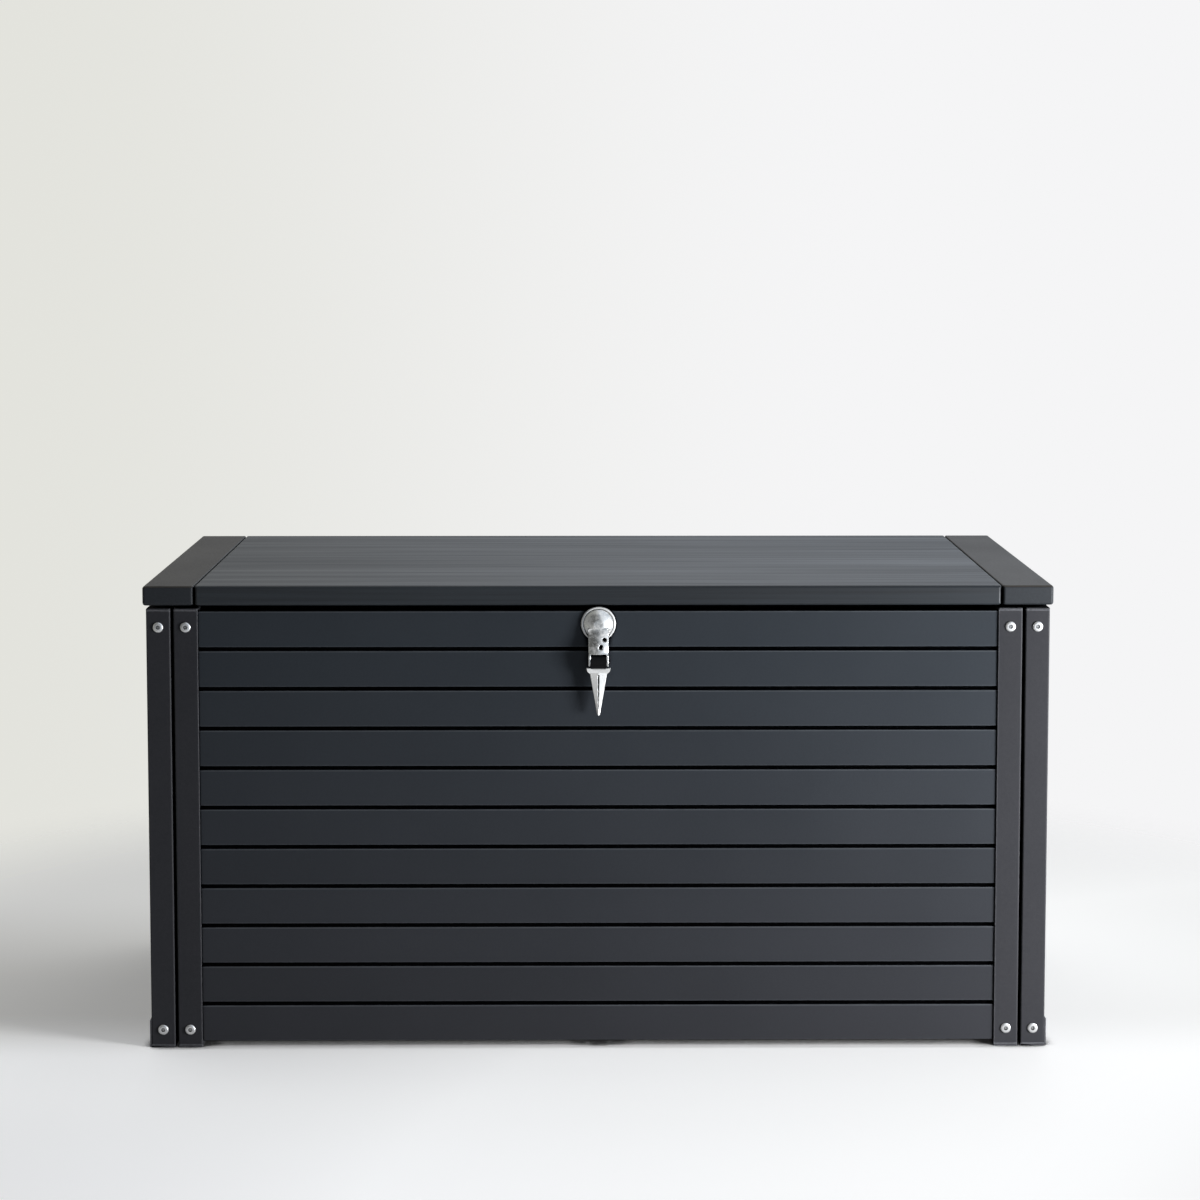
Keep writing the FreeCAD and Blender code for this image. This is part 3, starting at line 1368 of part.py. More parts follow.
def make_strut_tube(label, side):
    body = new_body(label)
    radius = size("strut_tube_radius")
    start = size("strut_tube_start")
    far = "(sizes.strut_tube_start + sizes.strut_tube_length)"
    stem = size("strut_rod_radius")
    bore = "(sizes.strut_tube_radius - sizes.strut_tube_wall)"
    gland = "(sizes.strut_rod_radius + sizes.strut_gland_play)"
    sketch = new_sketch(body, "XZ_Plane")
    outline(sketch, [("0", size("strut_stem_start")), (stem, size("strut_stem_start")),
                     (stem, "(%s - sizes.strut_tube_taper)" % start), (radius, start),
                     (radius, "(%s - sizes.strut_tube_bevel)" % far),
                     ("(%s - sizes.strut_tube_bevel)" % radius, far), (gland, far),
                     (gland, "(%s - sizes.strut_tube_end)" % far),
                     (bore, "(%s - sizes.strut_tube_end)" % far),
                     (bore, "(%s + sizes.strut_tube_end)" % start),
                     ("0", "(%s + sizes.strut_tube_end)" % start)])
    revolve(body, sketch)
    add_strut_eye(body, "0", 1, size("strut_stem_start"))
    hole = new_sketch(body, "YZ_Plane")
    circle(hole, "0", "0", "((sizes.strut_pin + sizes.strut_pin_play) / 2)")
    pocket(body, hole, "(2 * sizes.strut_eye_thickness)", both=True)
    set_place(body, "%d * %s" % (side, strut_plane), wall_middle, strut_wall_height,
              strut_tilt, (1, 0, 0))
    keep(body, label)


def make_strut_rod(label, side):
    body = new_body(label)
    rod = size("strut_rod_radius")
    piston = "(sizes.strut_tube_radius - sizes.strut_tube_wall - sizes.strut_piston_play)"
    start = size("strut_piston_start")
    shoulder = "(%s + sizes.strut_piston_length)" % start
    sketch = new_sketch(body, "XZ_Plane")
    end = "(%s - sizes.strut_rod_flat)" % strut_span
    outline(sketch, [("0", start), (piston, start), (piston, shoulder), (rod, shoulder), (rod, end),
                     ("0", end)])
    revolve(body, sketch)
    add_strut_eye(body, strut_span, -1, size("strut_rod_flat"))
    head = new_sketch(body, "YZ_Plane", "%d * sizes.strut_eye_thickness / 2" % side)
    circle(head, "0", strut_span, size("strut_head_radius"))
    pad(body, head, size("strut_head_rise"), back=side < 0)
    set_place(body, "%d * %s" % (side, strut_plane), wall_middle, strut_wall_height,
              strut_tilt, (1, 0, 0))
    keep(body, label)


def make_wall_bracket(name, side):
    """A plate on the side batten with a stud that the strut's lower eye turns on."""
    body = new_body(name)
    face = "(%s - sizes.post_size)" % half_width
    wide = "(sizes.strut_plate_width / 2)"
    tall = "(sizes.strut_plate_height / 2)"
    plate = new_sketch(body, "YZ_Plane", "%d * %s" % (side, face))
    rectangle(plate, "(0 - %s)" % wide, "(0 - %s)" % tall, wide, tall)
    for row in sides:
        circle(plate, "0", "%d * sizes.strut_plate_screw_pitch / 2" % row, small_screw_hole)
    pad(body, plate, size("strut_plate_thickness"), back=side > 0)

    def mouth(edge):
        inner_face = "%s - sizes.strut_plate_thickness" % face
        return round_edge(edge, small_screw_hole) and near(side * edge.Curve.Center.x, inner_face)

    soften(body, mouth, size("small_screw_cone"), "Chamfer")
    stud = new_sketch(body, "YZ_Plane", "%d * (%s - sizes.strut_plate_thickness)" % (side, face))
    circle(stud, "0", "0", size("strut_stud_radius"))
    pad(body, stud, "(%s - sizes.strut_plate_thickness - %s)" % (face, strut_eye_outer), back=side > 0)
    journal = new_sketch(body, "YZ_Plane", "%d * %s" % (side, strut_eye_outer))
    circle(journal, "0", "0", "(sizes.strut_pin / 2)")
    pad(body, journal, "(%s - %s)" % (strut_eye_outer, strut_eye_inner), back=side > 0)
    head = new_sketch(body, "YZ_Plane", "%d * %s" % (side, strut_eye_inner))
    circle(head, "0", "0", size("strut_head_radius"))
    pad(body, head, size("strut_head_rise"), back=side > 0)
    set_place(body, "0", wall_middle, strut_wall_height)
    return body


def make_lid_bracket(name, side):
    """An angle under the lid. The rod's pin stops short of its ear, which takes no pin."""
    body = new_body(name)
    half_ear = "(sizes.strut_ear_width / 2)"
    drop = "(%s - %s)" % (lid_bottom, strut_lid_height)
    ear = new_sketch(body, "YZ_Plane", "%d * %s" % (side, strut_eye_inner))
    corner = size("strut_ear_radius")
    outline(ear, [("(0 - %s)" % half_ear, drop), ("(0 - %s)" % corner, "0"), (corner, "0"),
                  (half_ear, drop)], arcs={1: (None, -1)})
    pad(body, ear, size("strut_ear_thickness"), back=side > 0)
    flange = new_sketch(body, "XY_Plane", "(%s - sizes.strut_flange_thickness)" % drop)
    outer = "%d * %s" % (side, strut_eye_inner)
    inner = "%d * (%s - sizes.strut_ear_thickness - sizes.strut_flange_width)" % (side, strut_eye_inner)
    rectangle(flange, inner, "(0 - %s)" % half_ear, outer, half_ear)
    for row in sides:
        circle(flange, "%d * %s" % (side, lid_bracket_screw_x),
               "%d * sizes.strut_flange_screw_pitch / 2" % row, small_screw_hole)
    pad(body, flange, size("strut_flange_thickness"))
    countersink(body, "%s - sizes.strut_flange_thickness" % drop)
    rivet = new_sketch(body, "YZ_Plane", "%d * (%s - sizes.strut_ear_thickness)" % (side, strut_eye_inner))
    circle(rivet, "0", "0", size("strut_head_radius"))
    pad(body, rivet, size("strut_head_rise"), back=side > 0)
    set_place(body, "0", strut_lid_place, strut_lid_height)
    return body


def make_struts():
    for name, side in (("left", -1), ("right", 1)):
        make_strut_tube("strut_tube_" + name, side)
        make_strut_rod("strut_rod_" + name, side)
    group("strut_wall_brackets", [make_wall_bracket("wall_bracket_left", -1),
                                  make_wall_bracket("wall_bracket_right", 1)])
    group("strut_lid_brackets", [make_lid_bracket("lid_bracket_left", -1),
                                 make_lid_bracket("lid_bracket_right", 1)])


def make_small_screws():
    source = small_screw()
    upward = []
    for places in lid_screw_places().values():
        for x, y, z in places:
            upward.append({"x": x, "y": y, "z": z, "turn": "180", "axis": (1, 0, 0)})
    copies("lid_screws", source, upward)
    body_places = []
    for middle in hinge_middles:
        for across, along in leaf_screw_rows:
            body_places.append({"x": middle + " + " + across, "y": hinge_line + " + " + along,
                                "z": "%s - sizes.hinge_leaf_play" % hinge_height})
    plate_face = "(%s - sizes.post_size - sizes.strut_plate_thickness)" % half_width
    for side in sides:
        for row in sides:
            body_places.append({
                "x": "%d * %s" % (side, plate_face), "y": wall_middle,
                "z": "%s + %d * sizes.strut_plate_screw_pitch / 2" % (strut_wall_height, row),
                "turn": str(-90 * side), "axis": (0, 1, 0)})
    copies("body_screws", source, body_places)


def check_model():
    """Stop if any object failed, any shape is missing or bad, or a cut removed nothing."""
    for item in doc.Objects:
        for state in item.State:
            if state in ("Invalid", "Error"):
                raise RuntimeError("%s is %s" % (item.Label, state))
        if item.TypeId in ("PartDesign::Pocket", "PartDesign::Groove"):
            before = item.BaseFeature.Shape.Volume
            if item.Shape.Volume > before - fit_limit:
                raise RuntimeError("%s cuts nothing" % item.Label)
    for item in nodes:
        if item.Shape.isNull() or not item.Shape.isValid():
            raise RuntimeError("%s has no valid shape" % item.Label)


def write_parts():
    os.makedirs("parts", exist_ok=True)
    for item in nodes:
        item.Shape.exportStep("parts/%s.step" % item.Label)


make_posts()
make_caps()
make_slats()
make_rails()
make_battens()
make_floor()
make_cover_strips()
make_corner_brackets()
make_buffers()
make_frame_screws()
make_lid_panel()
make_lid_end("lid_end_left", -1)
make_lid_end("lid_end_right", 1)
make_lid_bars()
make_hinges()
make_rosette()
make_latch_handle()
make_latch_small_parts()
make_latch_lever()
make_keeper()
make_struts()
make_small_screws()
doc.recompute()
check_model()
write_parts()
print("%d pieces written" % len(nodes))
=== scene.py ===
import bpy
import bmesh
import json
import math
from mathutils import Matrix, Vector


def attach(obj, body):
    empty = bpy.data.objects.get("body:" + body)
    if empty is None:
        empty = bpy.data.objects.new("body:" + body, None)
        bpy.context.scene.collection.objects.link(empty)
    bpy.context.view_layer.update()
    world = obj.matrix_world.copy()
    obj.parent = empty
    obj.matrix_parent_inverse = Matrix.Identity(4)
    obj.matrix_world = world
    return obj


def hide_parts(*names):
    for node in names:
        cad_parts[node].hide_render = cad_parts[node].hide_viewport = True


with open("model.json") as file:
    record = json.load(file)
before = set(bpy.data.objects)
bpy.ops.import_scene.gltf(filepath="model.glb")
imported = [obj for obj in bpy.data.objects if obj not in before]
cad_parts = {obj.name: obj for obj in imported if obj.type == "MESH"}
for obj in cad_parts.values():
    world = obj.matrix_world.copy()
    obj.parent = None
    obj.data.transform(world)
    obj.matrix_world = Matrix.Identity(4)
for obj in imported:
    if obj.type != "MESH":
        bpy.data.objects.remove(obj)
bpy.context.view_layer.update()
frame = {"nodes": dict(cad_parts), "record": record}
scene = bpy.context.scene
scene.view_settings.view_transform = "Standard"
nodes = frame["nodes"]
packedMerge = 0.00001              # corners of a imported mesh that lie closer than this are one
print("frame loaded:", len(nodes), "nodes")


# small tools for meshes

def newObject(name, data):
    made = bpy.data.objects.new(name, data)
    scene.collection.objects.link(made)
    return made


def newPiece(name, points, faces):
    mesh = bpy.data.meshes.new(name)
    mesh.from_pydata([tuple(point) for point in points], [], faces)
    return newObject(name, mesh)


def faceOutwards(piece, mergeDistance=0.000001):
    work = bmesh.new()
    work.from_mesh(piece.data)
    bmesh.ops.remove_doubles(work, verts=work.verts, dist=mergeDistance)
    bmesh.ops.recalc_face_normals(work, faces=work.faces)
    work.to_mesh(piece.data)
    work.free()


def copyNode(node, ending):
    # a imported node's own shape, with its loose triangles merged
    piece = newObject(node + ending, nodes[node].data.copy())
    faceOutwards(piece, packedMerge)
    return piece


def bakeModifiers(piece):
    # the finished shape becomes a plain mesh, with no modifier left on it
    graph = bpy.context.evaluated_depsgraph_get()
    made = bpy.data.meshes.new_from_object(piece.evaluated_get(graph))
    piece.modifiers.clear()
    piece.data = made


def smoothShading(piece, sharpAngle=35):
    piece.data.shade_smooth()
    piece.data.set_sharp_from_angle(angle=math.radians(sharpAngle))
    level = piece.modifiers.new("levelNormals", "WEIGHTED_NORMAL")
    level.keep_sharp = True
    bakeModifiers(piece)


def roundEdges(piece, radius, steps, sharpAngle):
    # each edge is rounded by its own share of the radius, its bevel weight
    bevel = piece.modifiers.new("roundEdges", "BEVEL")
    bevel.width = radius
    bevel.segments = steps
    bevel.limit_method = "WEIGHT"
    bakeModifiers(piece)
    smoothShading(piece, sharpAngle)


def roundOutline(corners, steps=4):
    # corners are (x, y, radius), in order round the outline
    outline = []
    for index, (x, y, radius) in enumerate(corners):
        here = Vector((x, y))
        back = (Vector(corners[index - 1][:2]) - here).normalized()
        ahead = (Vector(corners[(index + 1) % len(corners)][:2]) - here).normalized()
        if radius <= 0:
            outline.append((x, y))
            continue
        halfAngle = back.angle(ahead) / 2
        centre = here + (back + ahead).normalized() * radius / math.sin(halfAngle)
        start = here + back * radius / math.tan(halfAngle) - centre
        turn = start.angle_signed(here + ahead * radius / math.tan(halfAngle) - centre)
        for step in range(steps + 1):
            spot = centre + Matrix.Rotation(-turn * step / steps, 2) @ start
            outline.append((spot.x, spot.y))
    return outline


def prism(name, outline, low, high, place):
    # place(u, v, along) puts a point of the section into the frame
    count = len(outline)
    points = [place(u, v, along) for along in (low, high) for u, v in outline]
    faces = [tuple(range(count)), tuple(range(count, 2 * count))]
    for index in range(count):
        after = (index + 1) % count
        faces.append((index, after, count + after, count + index))
    piece = newPiece(name, points, faces)
    faceOutwards(piece)
    return piece


def ringFaces(rings, steps):
    # faces between rings of points, each ring with the same number of steps
    faces = []
    for ring in range(rings - 1):
        low, high = ring * steps, (ring + 1) * steps
        for step in range(steps):
            after = (step + 1) % steps
            faces.append((low + step, low + after, high + after, high + step))
    return faces


def lathe(name, profile, steps, place):
    # profile is a closed outline of (radius, height); place(across, up, height) is a point in the frame
    points = []
    for radius, height in profile:
        for step in range(steps):
            angle = 2 * math.pi * step / steps
            points.append(place(radius * math.cos(angle), radius * math.sin(angle), height))
    piece = newPiece(name, points, ringFaces(len(profile), steps))
    faceOutwards(piece)
    return piece


def setPiece(piece, body, slot, finish, *replaced):
    piece.data.materials.clear()
    piece.data.materials.append(finish)
    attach(piece, body)
    if replaced:
        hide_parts(*replaced)


# small tools for node trees

def addNode(tree, kind, settings=None, inputs=None):
    node = tree.nodes.new(kind)
    for key, value in (settings or {}).items():
        setattr(node, key, value)
    for key, value in (inputs or {}).items():
        if isinstance(value, bpy.types.NodeSocket):
            tree.links.new(value, node.inputs[key])
        else:
            node.inputs[key].default_value = value
    return node


def mathNode(tree, operation, first, second=0.0, third=0.0, clamp=False):
    inputs = {0: first, 1: second, 2: third}
    return addNode(tree, "ShaderNodeMath", {"operation": operation, "use_clamp": clamp}, inputs).outputs[0]


def vectorMath(tree, operation, first, second=(0.0, 0.0, 0.0)):
    inputs = {0: first, 1: second}
    return addNode(tree, "ShaderNodeVectorMath", {"operation": operation}, inputs).outputs["Value"]


def mapRange(tree, value, fromLow, fromHigh, toLow=0.0, toHigh=1.0, kind="LINEAR"):
    inputs = {0: value, 1: fromLow, 2: fromHigh, 3: toLow, 4: toHigh}
    return addNode(tree, "ShaderNodeMapRange", {"interpolation_type": kind}, inputs).outputs[0]


def addShares(tree, first, share, second):
    # a share of the first value and the rest of the second
    parts = [mathNode(tree, "MULTIPLY", first, share), mathNode(tree, "MULTIPLY", second, 1 - share)]
    return mathNode(tree, "ADD", *parts)


def linearColour(colour):
    # a colour as it looks on the screen, 0 to 255, as a shader takes it
    levels = [value / 255 for value in colour]
    return [v / 12.92 if v <= 0.04045 else ((v + 0.055) / 1.055) ** 2.4 for v in levels] + [1]


def mixColour(tree, factor, first, second, blend="MIX"):
    # first and second are sockets, or colours as they look on the screen
    inputs = {0: factor}
    for key, value in ((6, first), (7, second)):
        inputs[key] = linearColour(value) if isinstance(value, tuple) else value
    settings = {"data_type": "RGBA", "blend_type": blend}
    return addNode(tree, "ShaderNodeMix", settings, inputs).outputs[2]


def noiseNode(tree, place, scale, detail=3.0, roughness=0.5):
    inputs = {"Vector": place, "Scale": scale, "Detail": detail, "Roughness": roughness}
    return addNode(tree, "ShaderNodeTexNoise", None, inputs).outputs["Fac"]


def objectPlace(tree):
    return addNode(tree, "ShaderNodeTexCoord").outputs["Object"]


def splitVector(tree, value):
    return addNode(tree, "ShaderNodeSeparateXYZ", None, {0: value}).outputs


def newGroup(name, inputs, outputs, kind="ShaderNodeTree"):
    # inputs and outputs are (name, socket type, default)
    tree = bpy.data.node_groups.new(name, kind)
    for side, rows in (("INPUT", inputs), ("OUTPUT", outputs)):
        for label, socketType, default in rows:
            socket = tree.interface.new_socket(name=label, in_out=side, socket_type=socketType)
            if default is not None:
                socket.default_value = default
    return tree, tree.nodes.new("NodeGroupInput").outputs, tree.nodes.new("NodeGroupOutput").inputs


def useGroup(tree, group, inputs=None):
    node = tree.nodes.new("ShaderNodeGroup")
    node.node_tree = group
    for key, value in (inputs or {}).items():
        node.inputs[key].default_value = value
    return node.outputs


# the kinds of sockets that the trees below have
number, whole, vector = "NodeSocketFloat", "NodeSocketInt", "NodeSocketVector"
geometry, thing, material = "NodeSocketGeometry", "NodeSocketObject", "NodeSocketMaterial"


# effects that several finishes use

effect = {
    "wearSamples": 6,
    "wearNoise": {"detail": 4.0, "roughness": 0.65},
    "wearBreak": (0.25, 0.6, 0.35, 1.0),   # noise from, to, and what it leaves of the mask
    "fineShare": 0.6,              # of a fleck; the rest is coarse
    "fleckSpan": (0.35, 0.65),
    "patchSpan": (0.3, 0.7),
    "streakDetails": {"Stretch": 4.0, "Broad": 3.0},
    "stretchShare": 0.55,          # of the streaks' tone; the rest is broad
    "streakSpan": (0.35, 0.65),
    "lineNoise": 40.0,
    "lineBreak": (0.3, 0.6, 0.6, 1.0),     # noise from, to, and what it leaves of the line
    "shadeSamples": 8,
}


def makeEdgeWearAndHighlight():
    # 1 where the rounded surface turns away from the flat face, broken up by a fine noise; it marks edges
    # for wear and painted highlight
    tree, given, out = newGroup(
        "edgeWear", [("Radius", number, 0.0015), ("Break Up", number, 260.0), ("Low", number, 0.02),
                     ("High", number, 0.2)], [("Mask", number, None)])
    settings = {"samples": effect["wearSamples"]}
    rounded = addNode(tree, "ShaderNodeBevel", settings, {"Radius": given["Radius"]}).outputs[0]
    flat = addNode(tree, "ShaderNodeNewGeometry").outputs["True Normal"]
    level = vectorMath(tree, "DOT_PRODUCT", rounded, flat)
    edge = mapRange(tree, mathNode(tree, "SUBTRACT", 1.0, level), given["Low"], given["High"])
    noise = noiseNode(tree, objectPlace(tree), given["Break Up"], **effect["wearNoise"])
    broken = mapRange(tree, noise, *effect["wearBreak"])
    tree.links.new(mathNode(tree, "MULTIPLY", edge, broken, clamp=True), out["Mask"])
    return tree


def makeCoatGrain():
    # the orange peel and the specks of a baked powder coat
    tree, given, out = newGroup(
        "coatGrain", [("Grain Scale", number, 900.0), ("Patch Scale", number, 5.0),
                      ("Coarse Share", number, 0.35)],
        [("Fleck", number, None), ("Patch", number, None), ("Height", number, None)])
    spot = objectPlace(tree)
    fine = noiseNode(tree, spot, given["Grain Scale"], roughness=0.6)
    coarseScale = mathNode(tree, "MULTIPLY", given["Grain Scale"], given["Coarse Share"])
    coarse = noiseNode(tree, spot, coarseScale, detail=2.0)
    fleck = addShares(tree, fine, effect["fineShare"], coarse)
    tree.links.new(mapRange(tree, fleck, *effect["fleckSpan"]), out["Fleck"])
    patch = noiseNode(tree, spot, given["Patch Scale"])
    tree.links.new(mapRange(tree, patch, *effect["patchSpan"]), out["Patch"])
    tree.links.new(mathNode(tree, "ADD", fine, coarse), out["Height"])
    return tree


def makeBoardStreaks():
    # long fine streaks, as on a brushed or printed board
    tree, given, out = newGroup(
        "boardStreaks", [("Stretch", vector, (3.0, 160.0, 160.0)), ("Broad", vector, (0.8, 22.0, 22.0))],
        [("Tone", number, None), ("Height", number, None)])
    spot = objectPlace(tree)
    layers = []
    for label, detail in effect["streakDetails"].items():
        place = addNode(tree, "ShaderNodeMapping", None, {"Vector": spot, "Scale": given[label]}).outputs[0]
        layers.append(noiseNode(tree, place, 1.0, detail, roughness=0.6))
    tone = addShares(tree, layers[0], effect["stretchShare"], layers[1])
    tree.links.new(mapRange(tree, tone, *effect["streakSpan"]), out["Tone"])
    tree.links.new(layers[0], out["Height"])
    return tree


def makeSlatTone():
    # a tone for each slat, a painted highlight line below its upper edge, and how far up the wall it sits
    tree, given, out = newGroup(
        "slatTone", [("Pitch", number, 0.053), ("First Height", number, 0.008), ("Line", number, 0.865),
                     ("Line Width", number, 0.012), ("Rows", number, 10.0)],
        [("Tone", number, None), ("Top Line", number, None), ("Rise", number, None)])
    spot = objectPlace(tree)
    height = mathNode(tree, "SUBTRACT", splitVector(tree, spot)["Z"], given["First Height"])
    step = mathNode(tree, "DIVIDE", height, given["Pitch"])
    row = mathNode(tree, "FLOOR", step)
    share = mathNode(tree, "SUBTRACT", step, row)
    upper = mathNode(tree, "ADD", given["Line"], given["Line Width"])
    broken = mapRange(tree, noiseNode(tree, spot, effect["lineNoise"]), *effect["lineBreak"])
    line = mathNode(tree, "MULTIPLY", mapRange(tree, share, given["Line"], upper), broken)
    tree.links.new(line, out["Top Line"])
    settings = {"noise_dimensions": "1D"}
    draw = addNode(tree, "ShaderNodeTexWhiteNoise", settings, {"W": row}).outputs["Value"]
    tree.links.new(draw, out["Tone"])
    tree.links.new(mapRange(tree, step, 0.0, given["Rows"]), out["Rise"])
    return tree


def makeSeamShade():
    # 1 where the surface lies deep in a narrow gap, 0 in the open; the finishes paint shade with it
    tree, given, out = newGroup(
        "seamShade", [("Distance", number, 0.012), ("Open", number, 0.90), ("Deep", number, 0.68)],
        [("Mask", number, None)])
    settings = {"samples": effect["shadeSamples"]}
    light = addNode(tree, "ShaderNodeAmbientOcclusion", settings, {"Distance": given["Distance"]})
    tree.links.new(mapRange(tree, light.outputs["AO"], given["Open"], given["Deep"]), out["Mask"])
    return tree


seamShade = makeSeamShade()
edgeWear = makeEdgeWearAndHighlight()
coatGrain = makeCoatGrain()
boardStreaks = makeBoardStreaks()
slatTone = makeSlatTone()


# finishes

def newFinish(name, metallic=0.0, specular=0.5):
    finish = bpy.data.materials.new(name)
    finish.use_nodes = True
    shader = finish.node_tree.nodes["Principled BSDF"]
    shader.inputs["Metallic"].default_value = metallic
    shader.inputs["Specular IOR Level"].default_value = specular
    return finish, finish.node_tree, shader


def addBump(tree, shader, height, strength, distance):
    inputs = {"Height": height, "Strength": strength, "Distance": distance}
    bump = addNode(tree, "ShaderNodeBump", None, inputs)
    tree.links.new(bump.outputs[0], shader.inputs["Normal"])


def seamShadeMask(tree, distance, openLevel, deepLevel):
    inputs = {"Distance": distance, "Open": openLevel, "Deep": deepLevel}
    return useGroup(tree, seamShade, inputs)["Mask"]


def wearAndHighlightColour(tree, colour, wornAndHighlit, radius, amount):
    # lighter rounded edges: partly wear, partly painted highlight where edges catch the light
    edge = useGroup(tree, edgeWear, {"Radius": radius})["Mask"]
    return mixColour(tree, mathNode(tree, "MULTIPLY", edge, amount), colour, wornAndHighlit)


coatLook = {
    "specular": 0.18,
    "fleckShare": 0.55,            # of the tone; the rest is soft patches
    "slatShare": 0.4,              # how much of a slat's tone is its own
    "topLine": 0.3,                # strength of the painted highlight line below a slat's upper edge
    # painted shade: the near-black colour that deep gaps and grooves are painted with
    "gapColour": (2, 2, 3),
    "gapCover": 0.98,
    "gapRoughness": 0.4,           # what a deep gap adds
    "smear": 0.05,
    "bump": (0.25, 0.0002),        # strength, distance
}


def makeCoat(name, dark, light, wornAndHighlit, roughness, grainScale, wearRadius, wearAmount, seam,
             lowDark=None, lowLight=None):
    # powder coated metal: specks, soft patches, brighter edges that are partly wear and partly painted
    # highlight; the low colours are for slats only
    finish, tree, shader = newFinish(name, specular=coatLook["specular"])
    grain = useGroup(tree, coatGrain, {"Grain Scale": grainScale})
    rows = useGroup(tree, slatTone) if lowDark else None
    blend = addShares(tree, grain["Fleck"], coatLook["fleckShare"], grain["Patch"])
    if rows:
        blend = addShares(tree, rows["Tone"], coatLook["slatShare"], blend)
    colour = mixColour(tree, blend, dark, light)
    if rows:
        colour = mixColour(tree, rows["Rise"], mixColour(tree, blend, lowDark, lowLight), colour)
    colour = wearAndHighlightColour(tree, colour, wornAndHighlit, wearRadius, wearAmount)
    if rows:
        # painted highlight: a light line along each slat's upper edge
        line = mathNode(tree, "MULTIPLY", rows["Top Line"], coatLook["topLine"])
        colour = mixColour(tree, line, colour, wornAndHighlit)
    # painted shade: deep gaps and grooves turn near black and lose their sheen
    deep = seamShadeMask(tree, *seam)
    cover = mathNode(tree, "MULTIPLY", deep, coatLook["gapCover"])
    tree.links.new(mixColour(tree, cover, colour, coatLook["gapColour"]), shader.inputs["Base Color"])
    tree.links.new(deep, shader.inputs["Metallic"])        # painted shade: takes the coat's sheen out of the gaps
    smear = coatLook["smear"]
    shine = mapRange(tree, grain["Patch"], 0.0, 1.0, roughness - smear, roughness + smear)
    tree.links.new(mathNode(tree, "MULTIPLY_ADD", deep, coatLook["gapRoughness"], shine, clamp=True),
                   shader.inputs["Roughness"])
    addBump(tree, shader, grain["Height"], *coatLook["bump"])
    return finish


boardLook = {
    "streakShare": 0.75,           # of the tone; the rest is soft patches
    "grainScale": 700.0,
    "patchScale": 3.0,
    "topEnd": (0.7, 0.3),          # the upward part of the normal where the top's colour ends
    "wearRadius": 0.004,
    "wearAmount": 0.3,
    # painted shade in the seams between the lid's boards
    "seam": (0.012, 0.94, 0.68),
    "gapColour": (3, 3, 4),
    "gapCover": 0.96,
    "bump": (0.2, 0.0003),         # strength, distance
}


def makeBoard(name, dark, light, wornAndHighlit, roughness, stretch, broad, sheenSpread, specular,
              sideDark=None, sideLight=None):
    # a board with long streaks; the side colours are for one that is browner on top
    finish, tree, shader = newFinish(name, specular=specular)
    streaks = useGroup(tree, boardStreaks, {"Stretch": stretch, "Broad": broad})
    scales = {"Grain Scale": boardLook["grainScale"], "Patch Scale": boardLook["patchScale"]}
    patch = useGroup(tree, coatGrain, scales)["Patch"]
    blend = addShares(tree, streaks["Tone"], boardLook["streakShare"], patch)
    colour = mixColour(tree, blend, dark, light)
    if sideDark:
        rise = splitVector(tree, addNode(tree, "ShaderNodeTexCoord").outputs["Normal"])["Z"]
        side = mapRange(tree, rise, *boardLook["topEnd"])
        colour = mixColour(tree, side, colour, mixColour(tree, blend, sideDark, sideLight))
    colour = wearAndHighlightColour(tree, colour, wornAndHighlit, boardLook["wearRadius"], boardLook["wearAmount"])
    # painted shade: the seams turn near black and lose their sheen
    deep = seamShadeMask(tree, *boardLook["seam"])
    cover = mathNode(tree, "MULTIPLY", deep, boardLook["gapCover"])
    tree.links.new(mixColour(tree, cover, colour, boardLook["gapColour"]), shader.inputs["Base Color"])
    tree.links.new(deep, shader.inputs["Metallic"])        # painted shade: takes the board's sheen out of the seams
    shine = mapRange(tree, streaks["Tone"], 0.0, 1.0, roughness + sheenSpread, roughness - sheenSpread)
    tree.links.new(shine, shader.inputs["Roughness"])
    addBump(tree, shader, streaks["Height"], *boardLook["bump"])
    return finish


metalLook = {
    "cloudSpan": (0.3, 0.7),
    "patchySpan": (0.2, 0.8),
    # painted shade where parts meet and in recesses
    "cavityColour": (14, 14, 15),
    "bumpScale": 9,                # how much finer the bump is than the smears
    "bumpDistance": 0.0001,
}


def makeMetal(name, dark, light, roughness, smear, scale, bump=0.1, metallic=1.0, cavityShade=None, patchy=None):
    # bare or plated metal with faint smears in its shine
    finish, tree, shader = newFinish(name, metallic=metallic)
    spot = objectPlace(tree)
    cloud = mapRange(tree, noiseNode(tree, spot, scale, detail=5.0, roughness=0.6), *metalLook["cloudSpan"])
    colour = mixColour(tree, cloud, dark, light)
    # painted shade: darker where parts of the latch meet and in a screw's key recess
    if cavityShade:
        colour = mixColour(tree, seamShadeMask(tree, *cavityShade), colour, metalLook["cavityColour"])
    tree.links.new(colour, shader.inputs["Base Color"])
    shine = mapRange(tree, cloud, 0.0, 1.0, roughness + smear, roughness)
    tree.links.new(shine, shader.inputs["Roughness"])
    if patchy:                     # polished and duller patches, as on a cast and tumbled piece
        shiny = mapRange(tree, cloud, *metalLook["patchySpan"], *patchy)
        tree.links.new(shiny, shader.inputs["Metallic"])
    fine = noiseNode(tree, spot, scale * metalLook["bumpScale"], detail=2.0)
    addBump(tree, shader, fine, bump, metalLook["bumpDistance"])
    return finish


mouldedLook = {
    "grainScale": 1400.0,
    "patchScale": 30.0,
    "wearRadius": 0.001,
    "patchShare": 0.5,             # of the tone; the rest is the rubbed edges
    "smear": 0.08,
    "bump": (0.35, 0.0002),        # strength, distance
}


